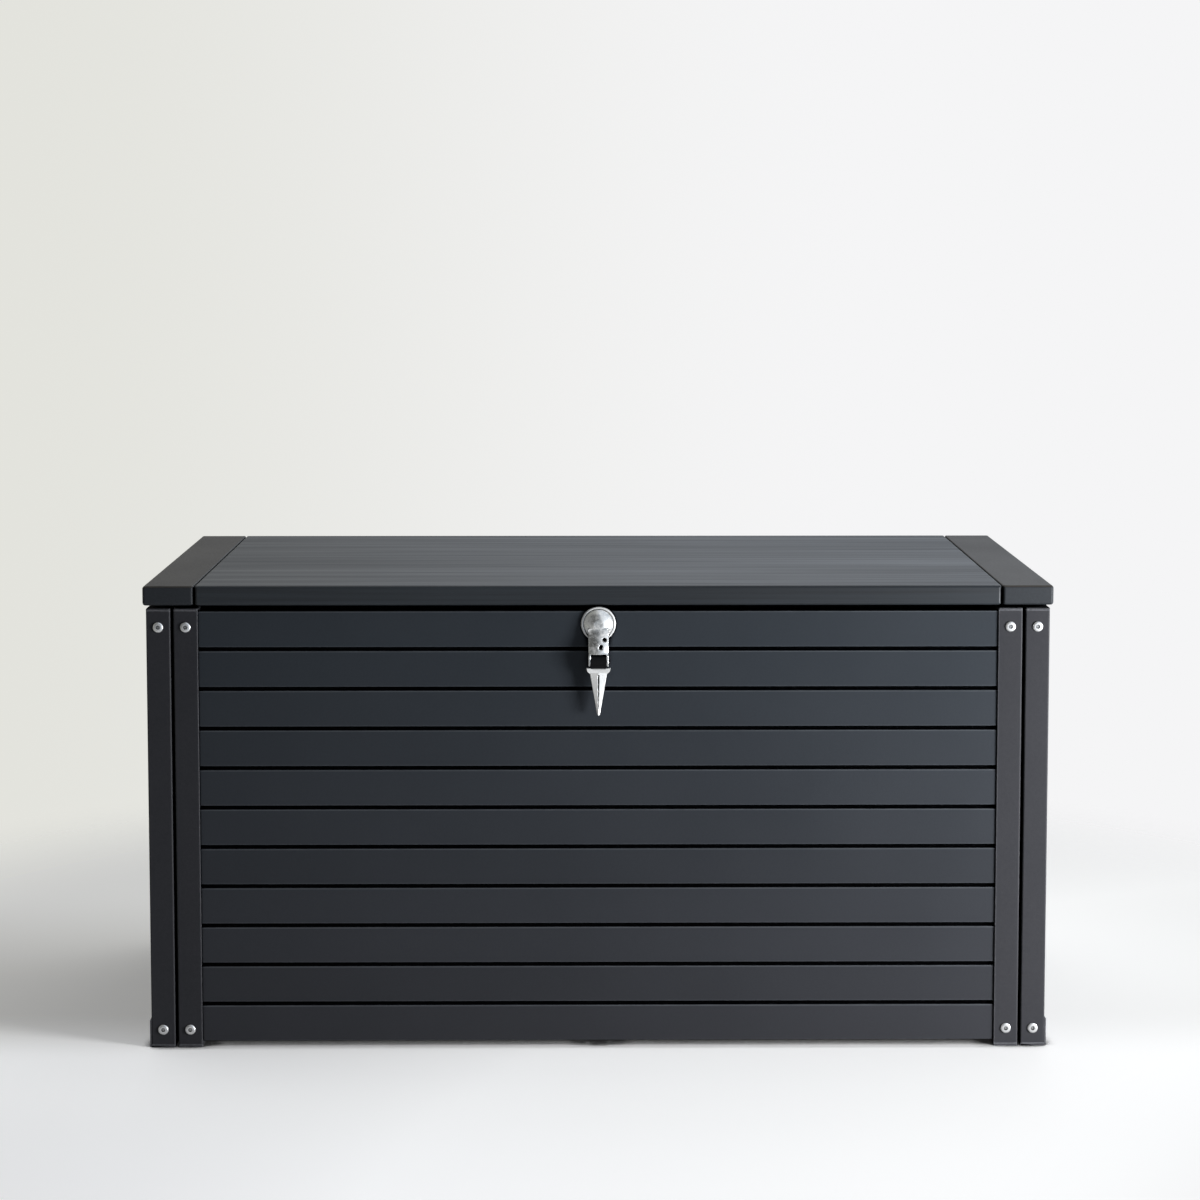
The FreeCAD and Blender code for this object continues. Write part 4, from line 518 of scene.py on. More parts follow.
def makeMoulded(name, dark, light, roughness, specular=0.5):
    # black plastic or rubber with a fine moulded skin and rubbed edges
    finish, tree, shader = newFinish(name, specular=specular)
    scales = {"Grain Scale": mouldedLook["grainScale"], "Patch Scale": mouldedLook["patchScale"]}
    grain = useGroup(tree, coatGrain, scales)
    edge = useGroup(tree, edgeWear, {"Radius": mouldedLook["wearRadius"]})["Mask"]
    blend = addShares(tree, grain["Patch"], mouldedLook["patchShare"], edge)
    tree.links.new(mixColour(tree, blend, dark, light), shader.inputs["Base Color"])
    smear = mouldedLook["smear"]
    shine = mapRange(tree, grain["Fleck"], 0.0, 1.0, roughness - smear, roughness + smear)
    tree.links.new(shine, shader.inputs["Roughness"])
    addBump(tree, shader, grain["Height"], *mouldedLook["bump"])
    return finish


# a seam or a cavity is its reach in metres, and the light in it where the shade starts and is full
finishes = {
    "coated_slats": makeCoat(
        "coatedSlats", dark=(43, 48, 54), light=(51, 56, 62), wornAndHighlit=(108, 113, 119), roughness=0.5,
        grainScale=900.0, wearRadius=0.0035, wearAmount=0.5, seam=(0.011, 0.88, 0.62),
        lowDark=(47, 48, 52), lowLight=(54, 55, 60)),
    "coated_frame": makeCoat(
        "coatedFrame", dark=(44, 45, 49), light=(54, 54, 58), wornAndHighlit=(124, 125, 130), roughness=0.52,
        grainScale=650.0, wearRadius=0.0035, wearAmount=0.75, seam=(0.012, 0.5, 0.25)),
    "lid_board": makeBoard(
        "lidBoard", dark=(22, 25, 29), light=(46, 51, 56), wornAndHighlit=(92, 98, 106), roughness=0.5,
        stretch=(3.0, 230.0, 230.0), broad=(0.9, 40.0, 40.0), sheenSpread=0.09, specular=0.36),
    "lid_end": makeBoard(
        "lidEndBoard", dark=(51, 47, 43), light=(65, 60, 54), wornAndHighlit=(92, 94, 98), roughness=0.57,
        stretch=(300.0, 220.0, 300.0), broad=(9.0, 5.0, 9.0), sheenSpread=0.04, specular=0.3,
        sideDark=(29, 32, 36), sideLight=(41, 45, 50)),
    "inner_frame": makeCoat(
        "innerFrame", dark=(58, 60, 63), light=(70, 72, 76), wornAndHighlit=(110, 112, 116), roughness=0.55,
        grainScale=700.0, wearRadius=0.0015, wearAmount=0.5, seam=(0.06, 0.72, 0.42)),
    "floor_board": makeBoard(
        "floorBoard", dark=(92, 92, 92), light=(116, 115, 112), wornAndHighlit=(140, 138, 134), roughness=0.65,
        stretch=(4.0, 60.0, 60.0), broad=(1.0, 9.0, 9.0), sheenSpread=0.06, specular=0.3),
    "bright_latch": makeMetal(
        "brightLatch", dark=(186, 188, 187), light=(254, 254, 253), roughness=0.17, smear=0.14,
        scale=120.0, bump=0.08, cavityShade=(0.006, 0.86, 0.42), patchy=(0.9, 0.25)),
    # painted reflection: lever and rosette are near white and mostly unmetallic, so they look as bright as
    # chrome reflecting the white studio
    "smooth_latch": makeMetal(
        "smoothLatch", dark=(238, 239, 238), light=(254, 254, 253), roughness=0.24, smear=0.1,
        scale=90.0, bump=0.04, metallic=0.28, cavityShade=(0.006, 0.86, 0.42)),
    "bright_screws": makeMetal(
        "brightScrews", dark=(206, 207, 208), light=(238, 238, 238), roughness=0.3, smear=0.15,
        scale=240.0, metallic=0.75, cavityShade=(0.004, 0.93, 0.6)),
    "zinc_steel": makeMetal(
        "zincSteel", dark=(150, 153, 157), light=(186, 188, 190), roughness=0.38, smear=0.15,
        scale=90.0, bump=0.2),
    "strut_bright": makeMetal(
        "strutBright", dark=(190, 192, 195), light=(214, 216, 218), roughness=0.14, smear=0.08,
        scale=120.0),
    "strut_black": makeMoulded("strutBlack", dark=(16, 16, 17), light=(34, 34, 36), roughness=0.32),
    "black_plastic": makeMoulded(
        "blackPlastic", dark=(6, 6, 7), light=(17, 17, 18), roughness=0.6, specular=0.12),
    "buffer_rubber": makeMoulded(
        "bufferRubber", dark=(20, 20, 20), light=(40, 39, 38), roughness=0.75, specular=0.3),
}
print("finishes made:", len(finishes))

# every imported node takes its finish, also where a finer piece stands for it later
slotNames = [row["slot"] for row in frame["record"]["materials"]]
nodeSlots = {}
for name, node in nodes.items():
    for holder in node.material_slots:
        known = [slot for slot in slotNames if holder.material and holder.material.name.startswith(slot)]
        if known:
            nodeSlots[name] = max(known, key=len)
            holder.material = finishes[nodeSlots[name]]


# slat walls

slatWall = {
    "count": 10,                   # tongued slats; one flat-topped slat closes each wall
    "pitch": 0.053,
    "firstHeight": 0.008,
    "frontFace": -0.2893,
    "backFace": 0.3017,
    "sideFace": 0.5935,
    "frontEnds": (-0.536, 0.536),
    "sideEnds": (-0.2678, 0.2802),
    # depth from the outer face, height, radius, in metres
    "tongued": [(0, 0, 0.0009), (0.0058, 0, 0.0003), (0.0058, 0.005, 0.0003), (0.008, 0.005, 0.0003),
                (0.008, 0.058, 0.0004), (0.006, 0.058, 0.0004), (0.006, 0.048, 0.0004),
                (0, 0.048, 0.0013)],
    "flatTopped": [(0, 0, 0.0009), (0.0058, 0, 0.0003), (0.0058, 0.005, 0.0003),
                   (0.008, 0.005, 0.0003), (0.008, 0.048, 0.0004), (0, 0.048, 0.0013)],
}


def finishTree(tree, shape, finish, out):
    # the instances become real faces with the finish on them
    real = addNode(tree, "GeometryNodeRealizeInstances", None, {0: shape})
    done = addNode(tree, "GeometryNodeSetMaterial", None, {"Geometry": real.outputs[0], "Material": finish})
    tree.links.new(done.outputs[0], out["Geometry"])


def makeSlatTree():
    # a row of equal slats, one above the other, and a last one on top
    count, pitch, firstHeight = slatWall["count"], slatWall["pitch"], slatWall["firstHeight"]
    tree, given, out = newGroup(
        "slatStack", [("Slat", thing, None), ("Top Slat", thing, None), ("Count", whole, count),
                      ("Pitch", number, pitch), ("First Height", number, firstHeight),
                      ("Finish", material, None)],
        [("Geometry", geometry, None)], "GeometryNodeTree")
    step = addNode(tree, "ShaderNodeCombineXYZ", None, {"Z": given["Pitch"]}).outputs[0]
    start = addNode(tree, "ShaderNodeCombineXYZ", None, {"Z": given["First Height"]}).outputs[0]
    line = addNode(tree, "GeometryNodeMeshLine", None,
                   {"Count": given["Count"], "Offset": step, "Start Location": start})
    slat = addNode(tree, "GeometryNodeObjectInfo", None, {"Object": given["Slat"]}).outputs["Geometry"]
    stack = addNode(tree, "GeometryNodeInstanceOnPoints", None,
                    {"Points": line.outputs[0], "Instance": slat})
    rise = mathNode(tree, "MULTIPLY_ADD", given["Count"], given["Pitch"], given["First Height"])
    lift = addNode(tree, "ShaderNodeCombineXYZ", None, {"Z": rise}).outputs[0]
    top = addNode(tree, "GeometryNodeObjectInfo", None, {"Object": given["Top Slat"]}).outputs["Geometry"]
    lifted = addNode(tree, "GeometryNodeTransform", None, {"Geometry": top, "Translation": lift})
    join = tree.nodes.new("GeometryNodeJoinGeometry")
    tree.links.new(stack.outputs[0], join.inputs[0])
    tree.links.new(lifted.outputs[0], join.inputs[0])
    finishTree(tree, join.outputs[0], given["Finish"], out)
    return tree


def useTree(piece, tree, values):
    # the inputs are set by identifier before the object is first evaluated
    modifier = piece.modifiers.new(tree.name, "NODES")
    modifier.node_group = tree
    for socket in tree.interface.items_tree:
        if socket.in_out == "INPUT" and socket.name in values:
            modifier[socket.identifier] = values[socket.name]
    bakeModifiers(piece)


slatStack = makeSlatTree()


def makeWall(name, ends, place, replaced):
    parts = []
    for label in ("tongued", "flatTopped"):
        parts.append(prism(name + label, roundOutline(slatWall[label]), *ends, place))
        smoothShading(parts[-1])
    wall = newPiece(name, [], [])
    useTree(wall, slatStack, {
        "Slat": parts[0], "Top Slat": parts[1], "Count": slatWall["count"], "Pitch": slatWall["pitch"],
        "First Height": slatWall["firstHeight"], "Finish": finishes["coated_slats"]})
    for part in parts:
        bpy.data.objects.remove(part)
    setPiece(wall, "chest", "coated_slats", finishes["coated_slats"], *replaced)


makeWall("frontSlats", slatWall["frontEnds"], lambda u, v, along: (along, slatWall["frontFace"] + u, v),
         ["front_slat_%02d" % (row + 1) for row in range(slatWall["count"] + 1)])
makeWall("backSlats", slatWall["frontEnds"], lambda u, v, along: (along, slatWall["backFace"] - u, v),
         ["back_slats"])
makeWall("leftSlats", slatWall["sideEnds"], lambda u, v, along: (u - slatWall["sideFace"], along, v),
         ["left_slats"])
makeWall("rightSlats", slatWall["sideEnds"], lambda u, v, along: (slatWall["sideFace"] - u, along, v),
         ["right_slats"])
print("slat walls made")


# posts

post = {
    "low": 0.003,
    "high": 0.587,
    "half": 0.016,
    "cornerRadius": 0.002,
    "lipRadius": 0.0009,
    "cornerSteps": 5,
    "channelInset": 0.0023,        # the slats slide into this channel
    "channelWidth": 0.0084,
    "channelDepth": 0.009,
    # mirrored where it is -1, degrees turned, x, y
    "places": {
        "front_left_leg": (-1, 270, -0.580, -0.2758), "front_right_leg": (1, 90, 0.580, -0.2758),
        "back_left_leg": (1, 270, -0.580, 0.2882), "back_right_leg": (-1, 90, 0.580, 0.2882),
        "front_left_stile": (1, 0, -0.544, -0.2758), "front_right_stile": (-1, 0, 0.544, -0.2758),
        "back_left_stile": (-1, 180, -0.544, 0.2882), "back_right_stile": (1, 180, 0.544, 0.2882),
    },
}


def makePost(name, mirrored, turned, x, y):
    half, corner, lip = post["half"], post["cornerRadius"], post["lipRadius"]
    bottom = half - post["channelDepth"]
    inner = -half + post["channelInset"]
    outer = inner + post["channelWidth"]
    outline = roundOutline([
        (-half, -half, corner), (half, -half, lip), (half, inner, lip), (bottom, inner, 0),
        (bottom, outer, 0), (half, outer, lip), (half, half, corner), (-half, half, corner)],
        post["cornerSteps"])
    angle = math.radians(turned)

    def place(u, v, along):
        u = u * mirrored
        return (x + u * math.cos(angle) - v * math.sin(angle),
                y + u * math.sin(angle) + v * math.cos(angle), along)

    piece = prism(name + "_coated", outline, post["low"], post["high"], place)
    smoothShading(piece)
    setPiece(piece, "chest", "coated_frame", finishes["coated_frame"], name)


for name, place in post["places"].items():
    makePost(name, *place)
print("posts made")


# lid boards

lid = {
    "low": 0.594,
    "high": 0.620,
    "front": -0.2958,
    "back": 0.3042,
    "panelHalf": 0.53125,
    "endInner": 0.53275,
    "endOuter": 0.600,
    "seamRadius": 0.0064,          # the lower edges beside the two seams
    "seamTopShare": 0.3,           # the upper edges beside them, as a share of that
    "edgeShare": 0.6,              # every other outer edge, as a share of that
    "edgeSteps": 5,
    "sharpAngle": 40,
    "tongueLow": 0.602,
    "tongueHigh": 0.612,
    "tongueLength": 0.012,
    "grooveDepth": 0.0125,
    "tongueSetback": 0.020,
}


def rectangle(front, back, low, high):
    return [(front, low), (back, low), (back, high), (front, high)]


def makeBoardPiece(name, left, right, leftStep, rightStep):
    # a board with rounded edges; a step is a tongue (above 0) or a groove (below 0) in that end
    section = rectangle(lid["front"], lid["back"], lid["low"], lid["high"])
    inner = rectangle(lid["front"] + lid["tongueSetback"], lid["back"] - lid["tongueSetback"],
                      lid["tongueLow"], lid["tongueHigh"])
    points = [(x, y, z) for x in (left, right) for y, z in section]
    faces = [(0, 1, 5, 4), (1, 2, 6, 5), (2, 3, 7, 6), (3, 0, 4, 7)]
    outer = set(range(len(points)))
    for end, (x, outwards, step) in enumerate(((left, -1, leftStep), (right, 1, rightStep))):
        first = end * 4
        if step == 0:
            faces.append((first, first + 1, first + 2, first + 3))
            continue
        start = len(points)
        points += [(x, y, z) for y, z in inner] + [(x + outwards * step, y, z) for y, z in inner]
        for side in range(4):
            after = (side + 1) % 4
            faces.append((first + side, first + after, start + after, start + side))
            faces.append((start + side, start + after, start + 4 + after, start + 4 + side))
        faces.append((start + 4, start + 5, start + 6, start + 7))
    piece = newPiece(name, points, faces)
    weights = piece.data.attributes.new("bevel_weight_edge", "FLOAT", "EDGE")
    seamEnds = [corner for corner, step in ((0, leftStep), (4, rightStep)) if step != 0]
    for edge in piece.data.edges:
        ends = set(edge.vertices)
        share = lid["edgeShare"] if ends <= outer else 0.0
        if ends in [{corner, corner + 1} for corner in seamEnds]:
            share = 1.0
        elif ends in [{corner + 2, corner + 3} for corner in seamEnds]:
            share = lid["seamTopShare"]
        weights.data[edge.index].value = share
    faceOutwards(piece)
    roundEdges(piece, lid["seamRadius"], lid["edgeSteps"], lid["sharpAngle"])
    return piece


for name, left, right, leftStep, rightStep in (
        ("lid_panel", -lid["panelHalf"], lid["panelHalf"], lid["tongueLength"], lid["tongueLength"]),
        ("lid_end_left", -lid["endOuter"], -lid["endInner"], 0, -lid["grooveDepth"]),
        ("lid_end_right", lid["endInner"], lid["endOuter"], -lid["grooveDepth"], 0)):
    board = makeBoardPiece(name + "_board", left, right, leftStep, rightStep)
    setPiece(board, "lid", "lid_board", finishes["lid_board" if name == "lid_panel" else "lid_end"], name)
print("lid boards made")


# domed screws with a hexagon key recess

frameScrew = {
    "headRadius": 0.007,
    "rise": 0.0026,
    "rim": 0.0006,
    "flatRadius": 0.0042,
    "keyAcross": 0.005,
    "keyDepth": 0.0013,
    "steps": 24,
    "domeSteps": 5,
    "sharpAngle": 40,
    "size": 1.0,                   # scale of a whole head
    "columns": (-0.580, -0.544, 0.544, 0.580),
    "heights": (0.024, 0.565),
    "faces": (-0.2918, 0.3042),    # front, back
    "twists": (17, 31, 11),        # degrees by column, height and face, so that no two look alike
}


def makeScrewHead():
    steps, headRadius, flatRadius = frameScrew["steps"], frameScrew["headRadius"], frameScrew["flatRadius"]
    rim, rise = frameScrew["rim"], frameScrew["rise"]
    rings = [(headRadius, 0.0), (headRadius, rim)]
    for step in range(1, frameScrew["domeSteps"] + 1):
        turn = step / frameScrew["domeSteps"] * math.pi / 2
        rings.append((flatRadius + (headRadius - flatRadius) * math.cos(turn),
                      rim + (rise - rim) * math.sin(turn)))
    rings += [(0, rise), (0, rise - frameScrew["keyDepth"])]       # 0 stands for the key's hexagon
    points = []
    for radius, height in rings:
        for step in range(steps):
            angle = 2 * math.pi * step / steps
            sector = math.radians((math.degrees(angle) % 60) - 30)
            reach = radius or frameScrew["keyAcross"] / 2 / math.cos(sector)
            points.append((reach * math.cos(angle), -height, reach * math.sin(angle)))
    faces = ringFaces(len(rings), steps)
    faces += [tuple(range(steps)), tuple(range(len(points) - steps, len(points)))]
    head = newPiece("screwHead", points, faces)
    faceOutwards(head)
    head.data.shade_smooth()
    head.data.set_sharp_from_angle(angle=math.radians(frameScrew["sharpAngle"]))
    return head


def makeScrewTree():
    # one screw on each point, turned by the point's own attribute
    tree, given, out = newGroup(
        "screwRow", [("Places", geometry, None), ("Screw", thing, None),
                     ("Size", number, frameScrew["size"]), ("Finish", material, None)],
        [("Geometry", geometry, None)], "GeometryNodeTree")
    screw = addNode(tree, "GeometryNodeObjectInfo", None, {"Object": given["Screw"]}).outputs["Geometry"]
    settings = {"data_type": "FLOAT_VECTOR"}
    turn = addNode(tree, "GeometryNodeInputNamedAttribute", settings, {"Name": "turn"}).outputs[0]
    size = addNode(tree, "ShaderNodeCombineXYZ", None,
                   {"X": given["Size"], "Y": given["Size"], "Z": given["Size"]}).outputs[0]
    row = addNode(tree, "GeometryNodeInstanceOnPoints", None,
                  {"Points": given["Places"], "Instance": screw, "Rotation": turn, "Scale": size})
    finishTree(tree, row.outputs[0], given["Finish"], out)
    return tree


def makeFrameScrews():
    head = makeScrewHead()
    perColumn, perHeight, perFace = frameScrew["twists"]
    places, turns = [], []
    for column, x in enumerate(frameScrew["columns"]):
        for row, height in enumerate(frameScrew["heights"]):
            for side, y in enumerate(frameScrew["faces"]):
                places.append((x, y, height))
                twist = math.radians(perColumn * column + perHeight * row + perFace * side)
                turns.append((0.0, twist, math.pi * side))
    screws = newPiece("frameScrews", places, [])
    attribute = screws.data.attributes.new("turn", "FLOAT_VECTOR", "POINT")
    for index, turn in enumerate(turns):
        attribute.data[index].vector = turn
    useTree(screws, makeScrewTree(), {
        "Screw": head, "Size": frameScrew["size"], "Finish": finishes["bright_screws"]})
    bpy.data.objects.remove(head)
    setPiece(screws, "chest", "bright_screws", finishes["bright_screws"], "frame_screws")


makeFrameScrews()
print("frame screws made")


# latch

latch = {
    "centreZ": 0.569,
    "face": -0.2893,
    "rosetteRadius": 0.023,
    "rosetteThickness": 0.004,
    "rosetteBore": 0.0045,
    "rosetteRim": 0.0018,
    "rimSteps": 8,
    "rimFoot": (0.0030, 0.0002),   # inwards from the edge, down from the rim's top
    "plateEdge": (0.0036, 0.0006),
    "rosetteSteps": 96,
    "handleVoxel": 0.00045,
    "handleRounds": 9,
    "neckFront": 0.0125,           # how far the neck's front stands out from the face
    "neckLow": 0.5300,
    "neckHalf": 0.0133,
    "neckCrown": 0.0035,
    "dimples": ((0.0078, 0.5490), (0.0027, 0.5390)),
    "dimpleRadius": 0.0030,
    "dimpleDepth": 0.0045,
    "blendLow": 0.546,
    "blendHigh": 0.566,
    "leverVoxel": 0.0003,
    "leverRounds": 4,
    "leverFront": -0.3040,
    "leverShoulder": 0.5060,
    "leverSlant": 0.0016,
    "tipZ": 0.4492,
    "tipHalf": 0.0020,
    "tailHalf": 0.0110,
    "polish": 0.5,
}


def castPiece(node, body, finish, voxel, rounds, shape):
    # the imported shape, remeshed fine, given its crowned faces and relaxed like a polished casting
    piece = copyNode(node, "_cast")
    remesh = piece.modifiers.new("cast", "REMESH")
    remesh.mode = "VOXEL"
    remesh.voxel_size = voxel
    bakeModifiers(piece)
    for vertex in piece.data.vertices:
        vertex.co.y += shape(*vertex.co)
    relax = piece.modifiers.new("polish", "SMOOTH")
    relax.factor = latch["polish"]
    relax.iterations = rounds
    bakeModifiers(piece)
    piece.data.shade_smooth()
    setPiece(piece, body, "bright_latch", finish, node)


def makeRosette():
    # a ring with a rounded rim and a plate set a little lower inside it
    radius, thick, rim = latch["rosetteRadius"], latch["rosetteThickness"], latch["rosetteRim"]
    profile = [(latch["rosetteBore"], 0.0), (radius, 0.0)]
    for step in range(latch["rimSteps"] + 1):
        turn = step / latch["rimSteps"] * math.pi / 2
        profile.append((radius - rim + rim * math.cos(turn), thick - rim + rim * math.sin(turn)))
    for inwards, down in (latch["rimFoot"], latch["plateEdge"]):
        profile.append((radius - inwards, thick - down))
    profile += [(latch["rosetteBore"], profile[-1][1]), profile[0]]
    ring = lathe("latchRosette", profile, latch["rosetteSteps"], lambda across, up, height: (
        across, latch["face"] - height, latch["centreZ"] + up))
    smoothShading(ring)
    setPiece(ring, "chest", "bright_latch", finishes["smooth_latch"], "latch_rosette")


def handleCrown(x, y, z):
    # the neck's front is crowned, has two dimples and runs back into the dome
    neckFace = latch["face"] - latch["neckFront"]
    if y > neckFace or z < latch["neckLow"]:
        return 0.0
    dent = 0.0
    for dimpleX, dimpleZ in latch["dimples"]:
        away = math.hypot(x - dimpleX, z - dimpleZ) / latch["dimpleRadius"]
        dent += latch["dimpleDepth"] * max(0.0, 1 - away * away)
    share = min(1.0, abs(x) / latch["neckHalf"])
    rise = min(1.0, max(0.0, (z - latch["blendLow"]) / (latch["blendHigh"] - latch["blendLow"])))
    crown = latch["neckCrown"] * share * share * (1 - rise)
    return dent + crown + (neckFace - y) * rise * rise * (3 - 2 * rise)


def leverFacets(x, y, z):
    # two slanted facets meet along the groove
    if y > latch["leverFront"] or z > latch["leverShoulder"]:
        return 0.0
    half = latch["tipHalf"] + (latch["tailHalf"] - latch["tipHalf"]) * (
        (z - latch["tipZ"]) / (latch["leverShoulder"] - latch["tipZ"]))
    return latch["leverSlant"] * min(1.0, abs(x) / half)


makeRosette()
castPiece("latch_handle", "latch", finishes["bright_latch"], latch["handleVoxel"], latch["handleRounds"],
          handleCrown)
castPiece("latch_lever", "lever", finishes["smooth_latch"], latch["leverVoxel"], latch["leverRounds"],
          leverFacets)
print("latch made")


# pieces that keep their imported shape, with their round faces shaded smooth

smoothAngle = 28
smoothNodes = {
    "chest": ["hinge_body_leaves", "hinge_pins", "strut_wall_brackets", "body_screws", "lid_buffers",
              "leg_feet", "post_caps"],
    "lid": ["hinge_lid_leaves", "strut_lid_brackets", "lid_screws", "lid_keeper"],
    "latch": ["latch_pivot_pin", "latch_cam", "latch_nut_and_washer"],
    "lever": ["latch_barrel"],
    "tube_left": ["strut_tube_left"],
    "tube_right": ["strut_tube_right"],
    "rod_left": ["strut_rod_left"],
    "rod_right": ["strut_rod_right"],
}
for body, names in smoothNodes.items():
    for name in names:
        piece = copyNode(name, "_smooth")
        smoothShading(piece, smoothAngle)
        setPiece(piece, body, nodeSlots[name], finishes[nodeSlots[name]], name)
print("round pieces shaded")


# camera

camera = {
    "place": (-0.0257, -3.9975, 1.0982),
    "lens": 85.06,
    "sensor": 36,
    "pitch": 4.980,                # degrees below level
    "yaw": 0.429,                  # degrees to the right
    "shiftY": -0.11,
}


def makeCamera():
    data = bpy.data.cameras.new("camera")
    data.lens = camera["lens"]
    data.sensor_width = camera["sensor"]
    data.shift_y = camera["shiftY"]
    eye = newObject("camera", data)
    eye.location = camera["place"]
    eye.rotation_euler = (math.radians(90 - camera["pitch"]), 0, -math.radians(camera["yaw"]))
    scene.camera = eye


makeCamera()


# studio: floor, backdrop and light

studio = {
    "floorRadius": 6.0,
    "floorSteps": 96,
    "fadeSpan": (1.0, 1.6),        # how far from the middle the floor fades into the backdrop
    "floorGlow": 0.21,             # how much of the floor's white is its own for the camera
    "floorBoost": 2.36,            # how much whiter it is for the camera than for the light it throws back
    "lampSpan": (0.74, 1.95),      # painted shade: nearer the key lamp the floor is greyer, so the lamp's pool of light looks even
    "floorWhite": (0.02, 0.95),    # near the lamp, far from it
    "underShade": (0.03, 0.76, 0.5),   # below the chest, as a seam of a finish
    "underCover": 0.95,
    "behindSpan": (-0.36, -0.12),  # where the four painted side shades come in, from front to back
    "fartherSpan": (0.0, 0.6),
    "rightwardSpan": (-0.6, 0.6),
    "aheadSpan": (-0.45, -0.9),    # where the painted front shades come in, towards the camera
    "nearLeftTint": (176, 174, 168),   # painted shadow on the floor beside the chest, where its shadow lies
    "farLeftTint": (213, 212, 208),
    "nearRightTint": (238, 238, 237),
    "farRightTint": (222, 222, 221),
    "frontLeftTint": (236, 236, 237),
    "frontRightTint": (255, 255, 255),
    "toneSpan": (-0.21, 0.11),
    "leftTone": (227, 227, 221),
    "rightTone": (245, 245, 246),
    "ambientSpan": (-0.4, 0.6),
    "ambient": (0.10, 0.46),       # from the front, from the back
    "ambientColour": (0.96, 0.98, 1.0, 1.0),
    "darkAim": (-0.35, -0.88, 0.32),
    "darkSpan": (0.62, 0.97),
    "darkSide": 0.12,
    "glossSpan": (-0.25, 0.25),
    "glossSides": (0.66, 1.1),
    "glossTint": (234, 243, 255),
    "lamps": {
        "keyLamp": {"place": (1.62, -1.20, 0.36), "aim": (0.0, -0.2, 0.35), "size": (0.6, 0.6),
                    "power": 50.0, "colour": (0.98, 0.99, 1.0)},
        "topLamp": {"place": (0.45, 1.40, 2.3), "aim": (0.0, 0.1, 0.5), "size": (1.4, 1.4),
                    "power": 9.0, "colour": (0.97, 0.985, 1.0)},
    },
}


def smoothSpan(tree, value, label):
    # 0 where the named span starts and 1 where it ends
    return mapRange(tree, value, *studio[label], kind="SMOOTHSTEP")


def seenRay(tree, path):
    # 1 for the camera, and for what a shiny or clear face shows
    through = mathNode(tree, "MAXIMUM", path["Is Glossy Ray"], path["Is Transmission Ray"])
    return mathNode(tree, "MAXIMUM", path["Is Camera Ray"], through)


def makeWorld():
    world = bpy.data.worlds.new("studio")
    scene.world = world
    world.use_nodes = True
    tree = world.node_tree
    tree.nodes.clear()
    path = addNode(tree, "ShaderNodeLightPath").outputs
    ray = addNode(tree, "ShaderNodeTexCoord").outputs["Generated"]
    parts = splitVector(tree, ray)
    ramp = smoothSpan(tree, parts["X"], "toneSpan")
    tone = mixColour(tree, ramp, studio["leftTone"], studio["rightTone"])
    # shiny faces see a dark patch of the studio behind the camera
    aim = vectorMath(tree, "DOT_PRODUCT", ray, studio["darkAim"])
    dark = mapRange(tree, aim, *studio["darkSpan"], 1.0, studio["darkSide"], "SMOOTHSTEP")
    sides = mapRange(tree, parts["X"], *studio["glossSpan"], *studio["glossSides"])
    gloss = mathNode(tree, "MULTIPLY", dark, sides)
    strength = mapRange(tree, path["Is Camera Ray"], 0.0, 1.0, gloss, 1.0)
    shiny = mathNode(tree, "MULTIPLY", ramp, path["Is Glossy Ray"])
    tint = mixColour(tree, shiny, tone, studio["glossTint"])
    backdrop = addNode(tree, "ShaderNodeBackground", None, {"Color": tint, "Strength": strength}).outputs[0]
    # the white wall behind the chest gives more soft light than the dark front of the room
    ambient = mapRange(tree, parts["Y"], *studio["ambientSpan"], *studio["ambient"])
    fill = addNode(tree, "ShaderNodeBackground", None,
                   {"Color": studio["ambientColour"], "Strength": ambient}).outputs[0]
    both = addNode(tree, "ShaderNodeMixShader", None, {0: seenRay(tree, path), 1: fill, 2: backdrop})
    addNode(tree, "ShaderNodeOutputWorld", None, {"Surface": both.outputs[0]})


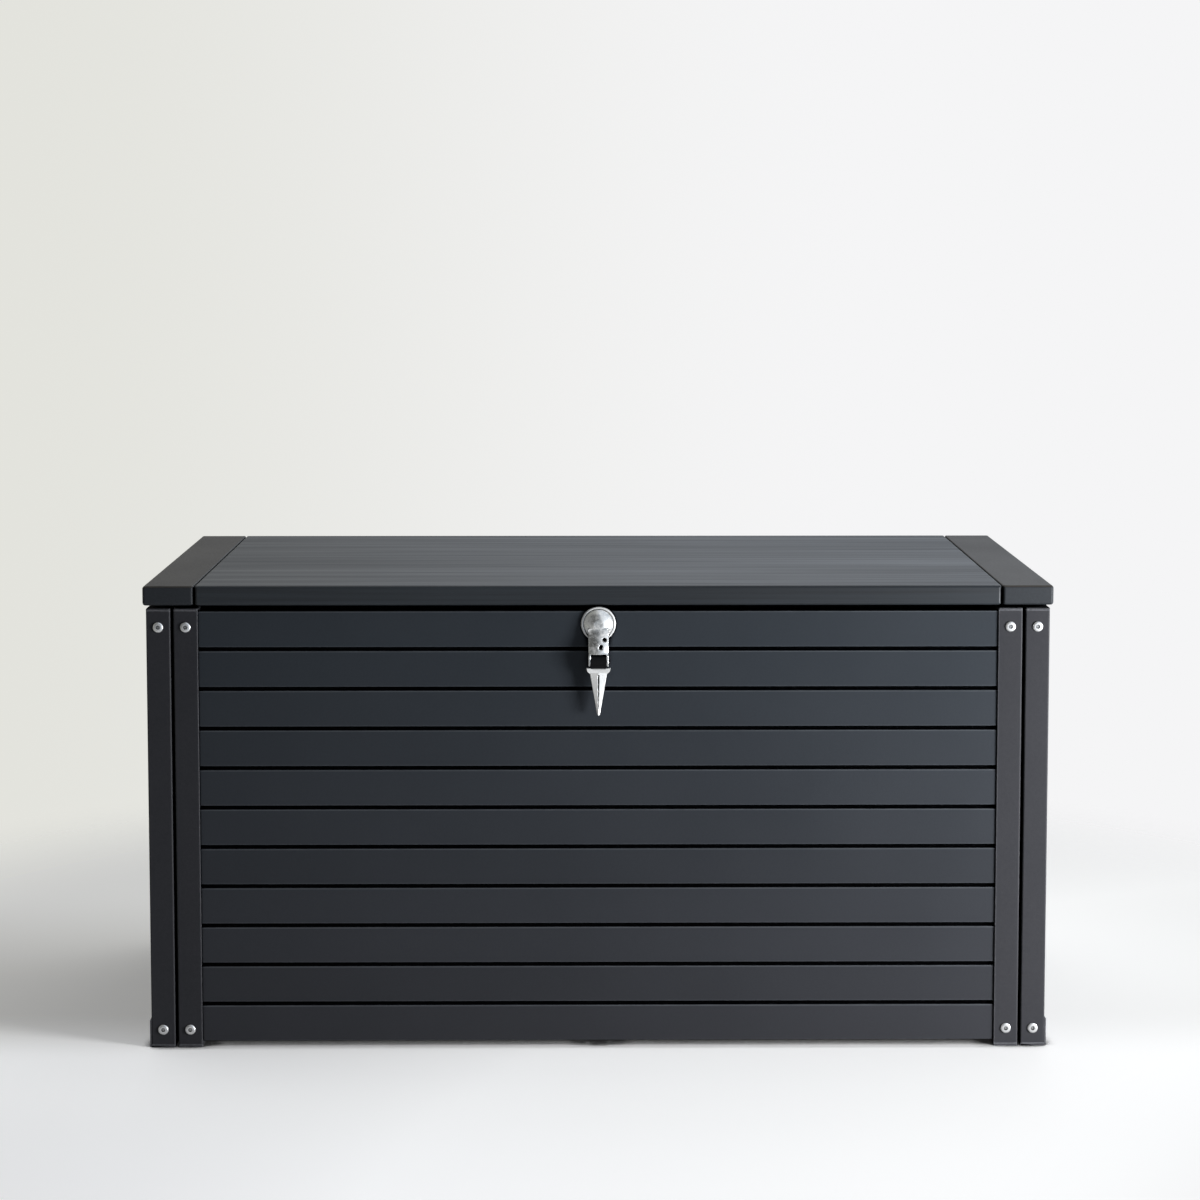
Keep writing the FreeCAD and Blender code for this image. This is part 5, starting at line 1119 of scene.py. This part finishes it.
def makeFloorFinish():
    finish = bpy.data.materials.new("studioFloor")
    finish.use_nodes = True
    tree = finish.node_tree
    tree.nodes.clear()
    path = addNode(tree, "ShaderNodeLightPath").outputs
    spot = objectPlace(tree)
    parts = splitVector(tree, spot)
    # how white the floor is, by its distance from the key lamp and for the camera; greyer near the lamp is
    # painted shade against the lamp's pool of light
    lampReach = vectorMath(tree, "DISTANCE", spot, studio["lamps"]["keyLamp"]["place"])
    white = mapRange(tree, lampReach, *studio["lampSpan"], *studio["floorWhite"])
    boosted = mathNode(tree, "MULTIPLY", white, studio["floorBoost"])
    white = mapRange(tree, path["Is Camera Ray"], 0.0, 1.0, white, boosted)
    under = seamShadeMask(tree, *studio["underShade"])
    clearance = mathNode(tree, "MULTIPLY_ADD", under, -studio["underCover"], 1.0)
    white = mathNode(tree, "MULTIPLY", white, clearance)
    matt = addNode(tree, "ShaderNodeCombineColor", None, {0: white, 1: white, 2: white}).outputs[0]
    # painted shadow and shade on it by place: the chest's shadow on the left, and darker where less light
    # falls
    rightward = smoothSpan(tree, parts["X"], "rightwardSpan")
    farther = smoothSpan(tree, parts["Y"], "fartherSpan")
    left = mixColour(tree, farther, studio["nearLeftTint"], studio["farLeftTint"])
    right = mixColour(tree, farther, studio["nearRightTint"], studio["farRightTint"])
    behind = smoothSpan(tree, parts["Y"], "behindSpan")
    matt = mixColour(tree, behind, matt, mixColour(tree, rightward, left, right), "MULTIPLY")
    front = mixColour(tree, rightward, studio["frontLeftTint"], studio["frontRightTint"])
    matt = mixColour(tree, smoothSpan(tree, parts["Y"], "aheadSpan"), matt, front, "MULTIPLY")
    shaded = addNode(tree, "ShaderNodeBsdfDiffuse", None, {"Color": matt}).outputs[0]
    glow = addNode(tree, "ShaderNodeEmission", None, {"Color": (1, 1, 1, 1), "Strength": 1.0}).outputs[0]
    clear = addNode(tree, "ShaderNodeBsdfTransparent").outputs[0]
    seen = mathNode(tree, "MULTIPLY", seenRay(tree, path), clearance)
    lift = mathNode(tree, "MULTIPLY", seen, studio["floorGlow"])
    near = addNode(tree, "ShaderNodeMixShader", None, {0: lift, 1: shaded, 2: glow}).outputs[0]
    fade = smoothSpan(tree, vectorMath(tree, "LENGTH", spot), "fadeSpan")
    both = addNode(tree, "ShaderNodeMixShader", None, {0: fade, 1: near, 2: clear}).outputs[0]
    addNode(tree, "ShaderNodeOutputMaterial", None, {"Surface": both})
    return finish


def makeFloor():
    steps, radius = studio["floorSteps"], studio["floorRadius"]
    angles = [2 * math.pi * step / steps for step in range(steps)]
    points = [(radius * math.cos(angle), radius * math.sin(angle), 0.0) for angle in angles]
    floor = newPiece("studioFloor", points, [tuple(range(steps))])
    floor.data.materials.append(makeFloorFinish())


def addLamp(name, place, aim, size, power, colour):
    data = bpy.data.lights.new(name, "AREA")
    data.shape = "RECTANGLE"
    data.size, data.size_y = size
    data.energy = power
    data.color = colour
    lamp = newObject(name, data)
    lamp.location = place
    lamp.rotation_euler = (Vector(aim) - Vector(place)).to_track_quat("-Z", "Y").to_euler()


makeWorld()
makeFloor()
for name, values in studio["lamps"].items():
    addLamp(name, **values)
print("studio made")
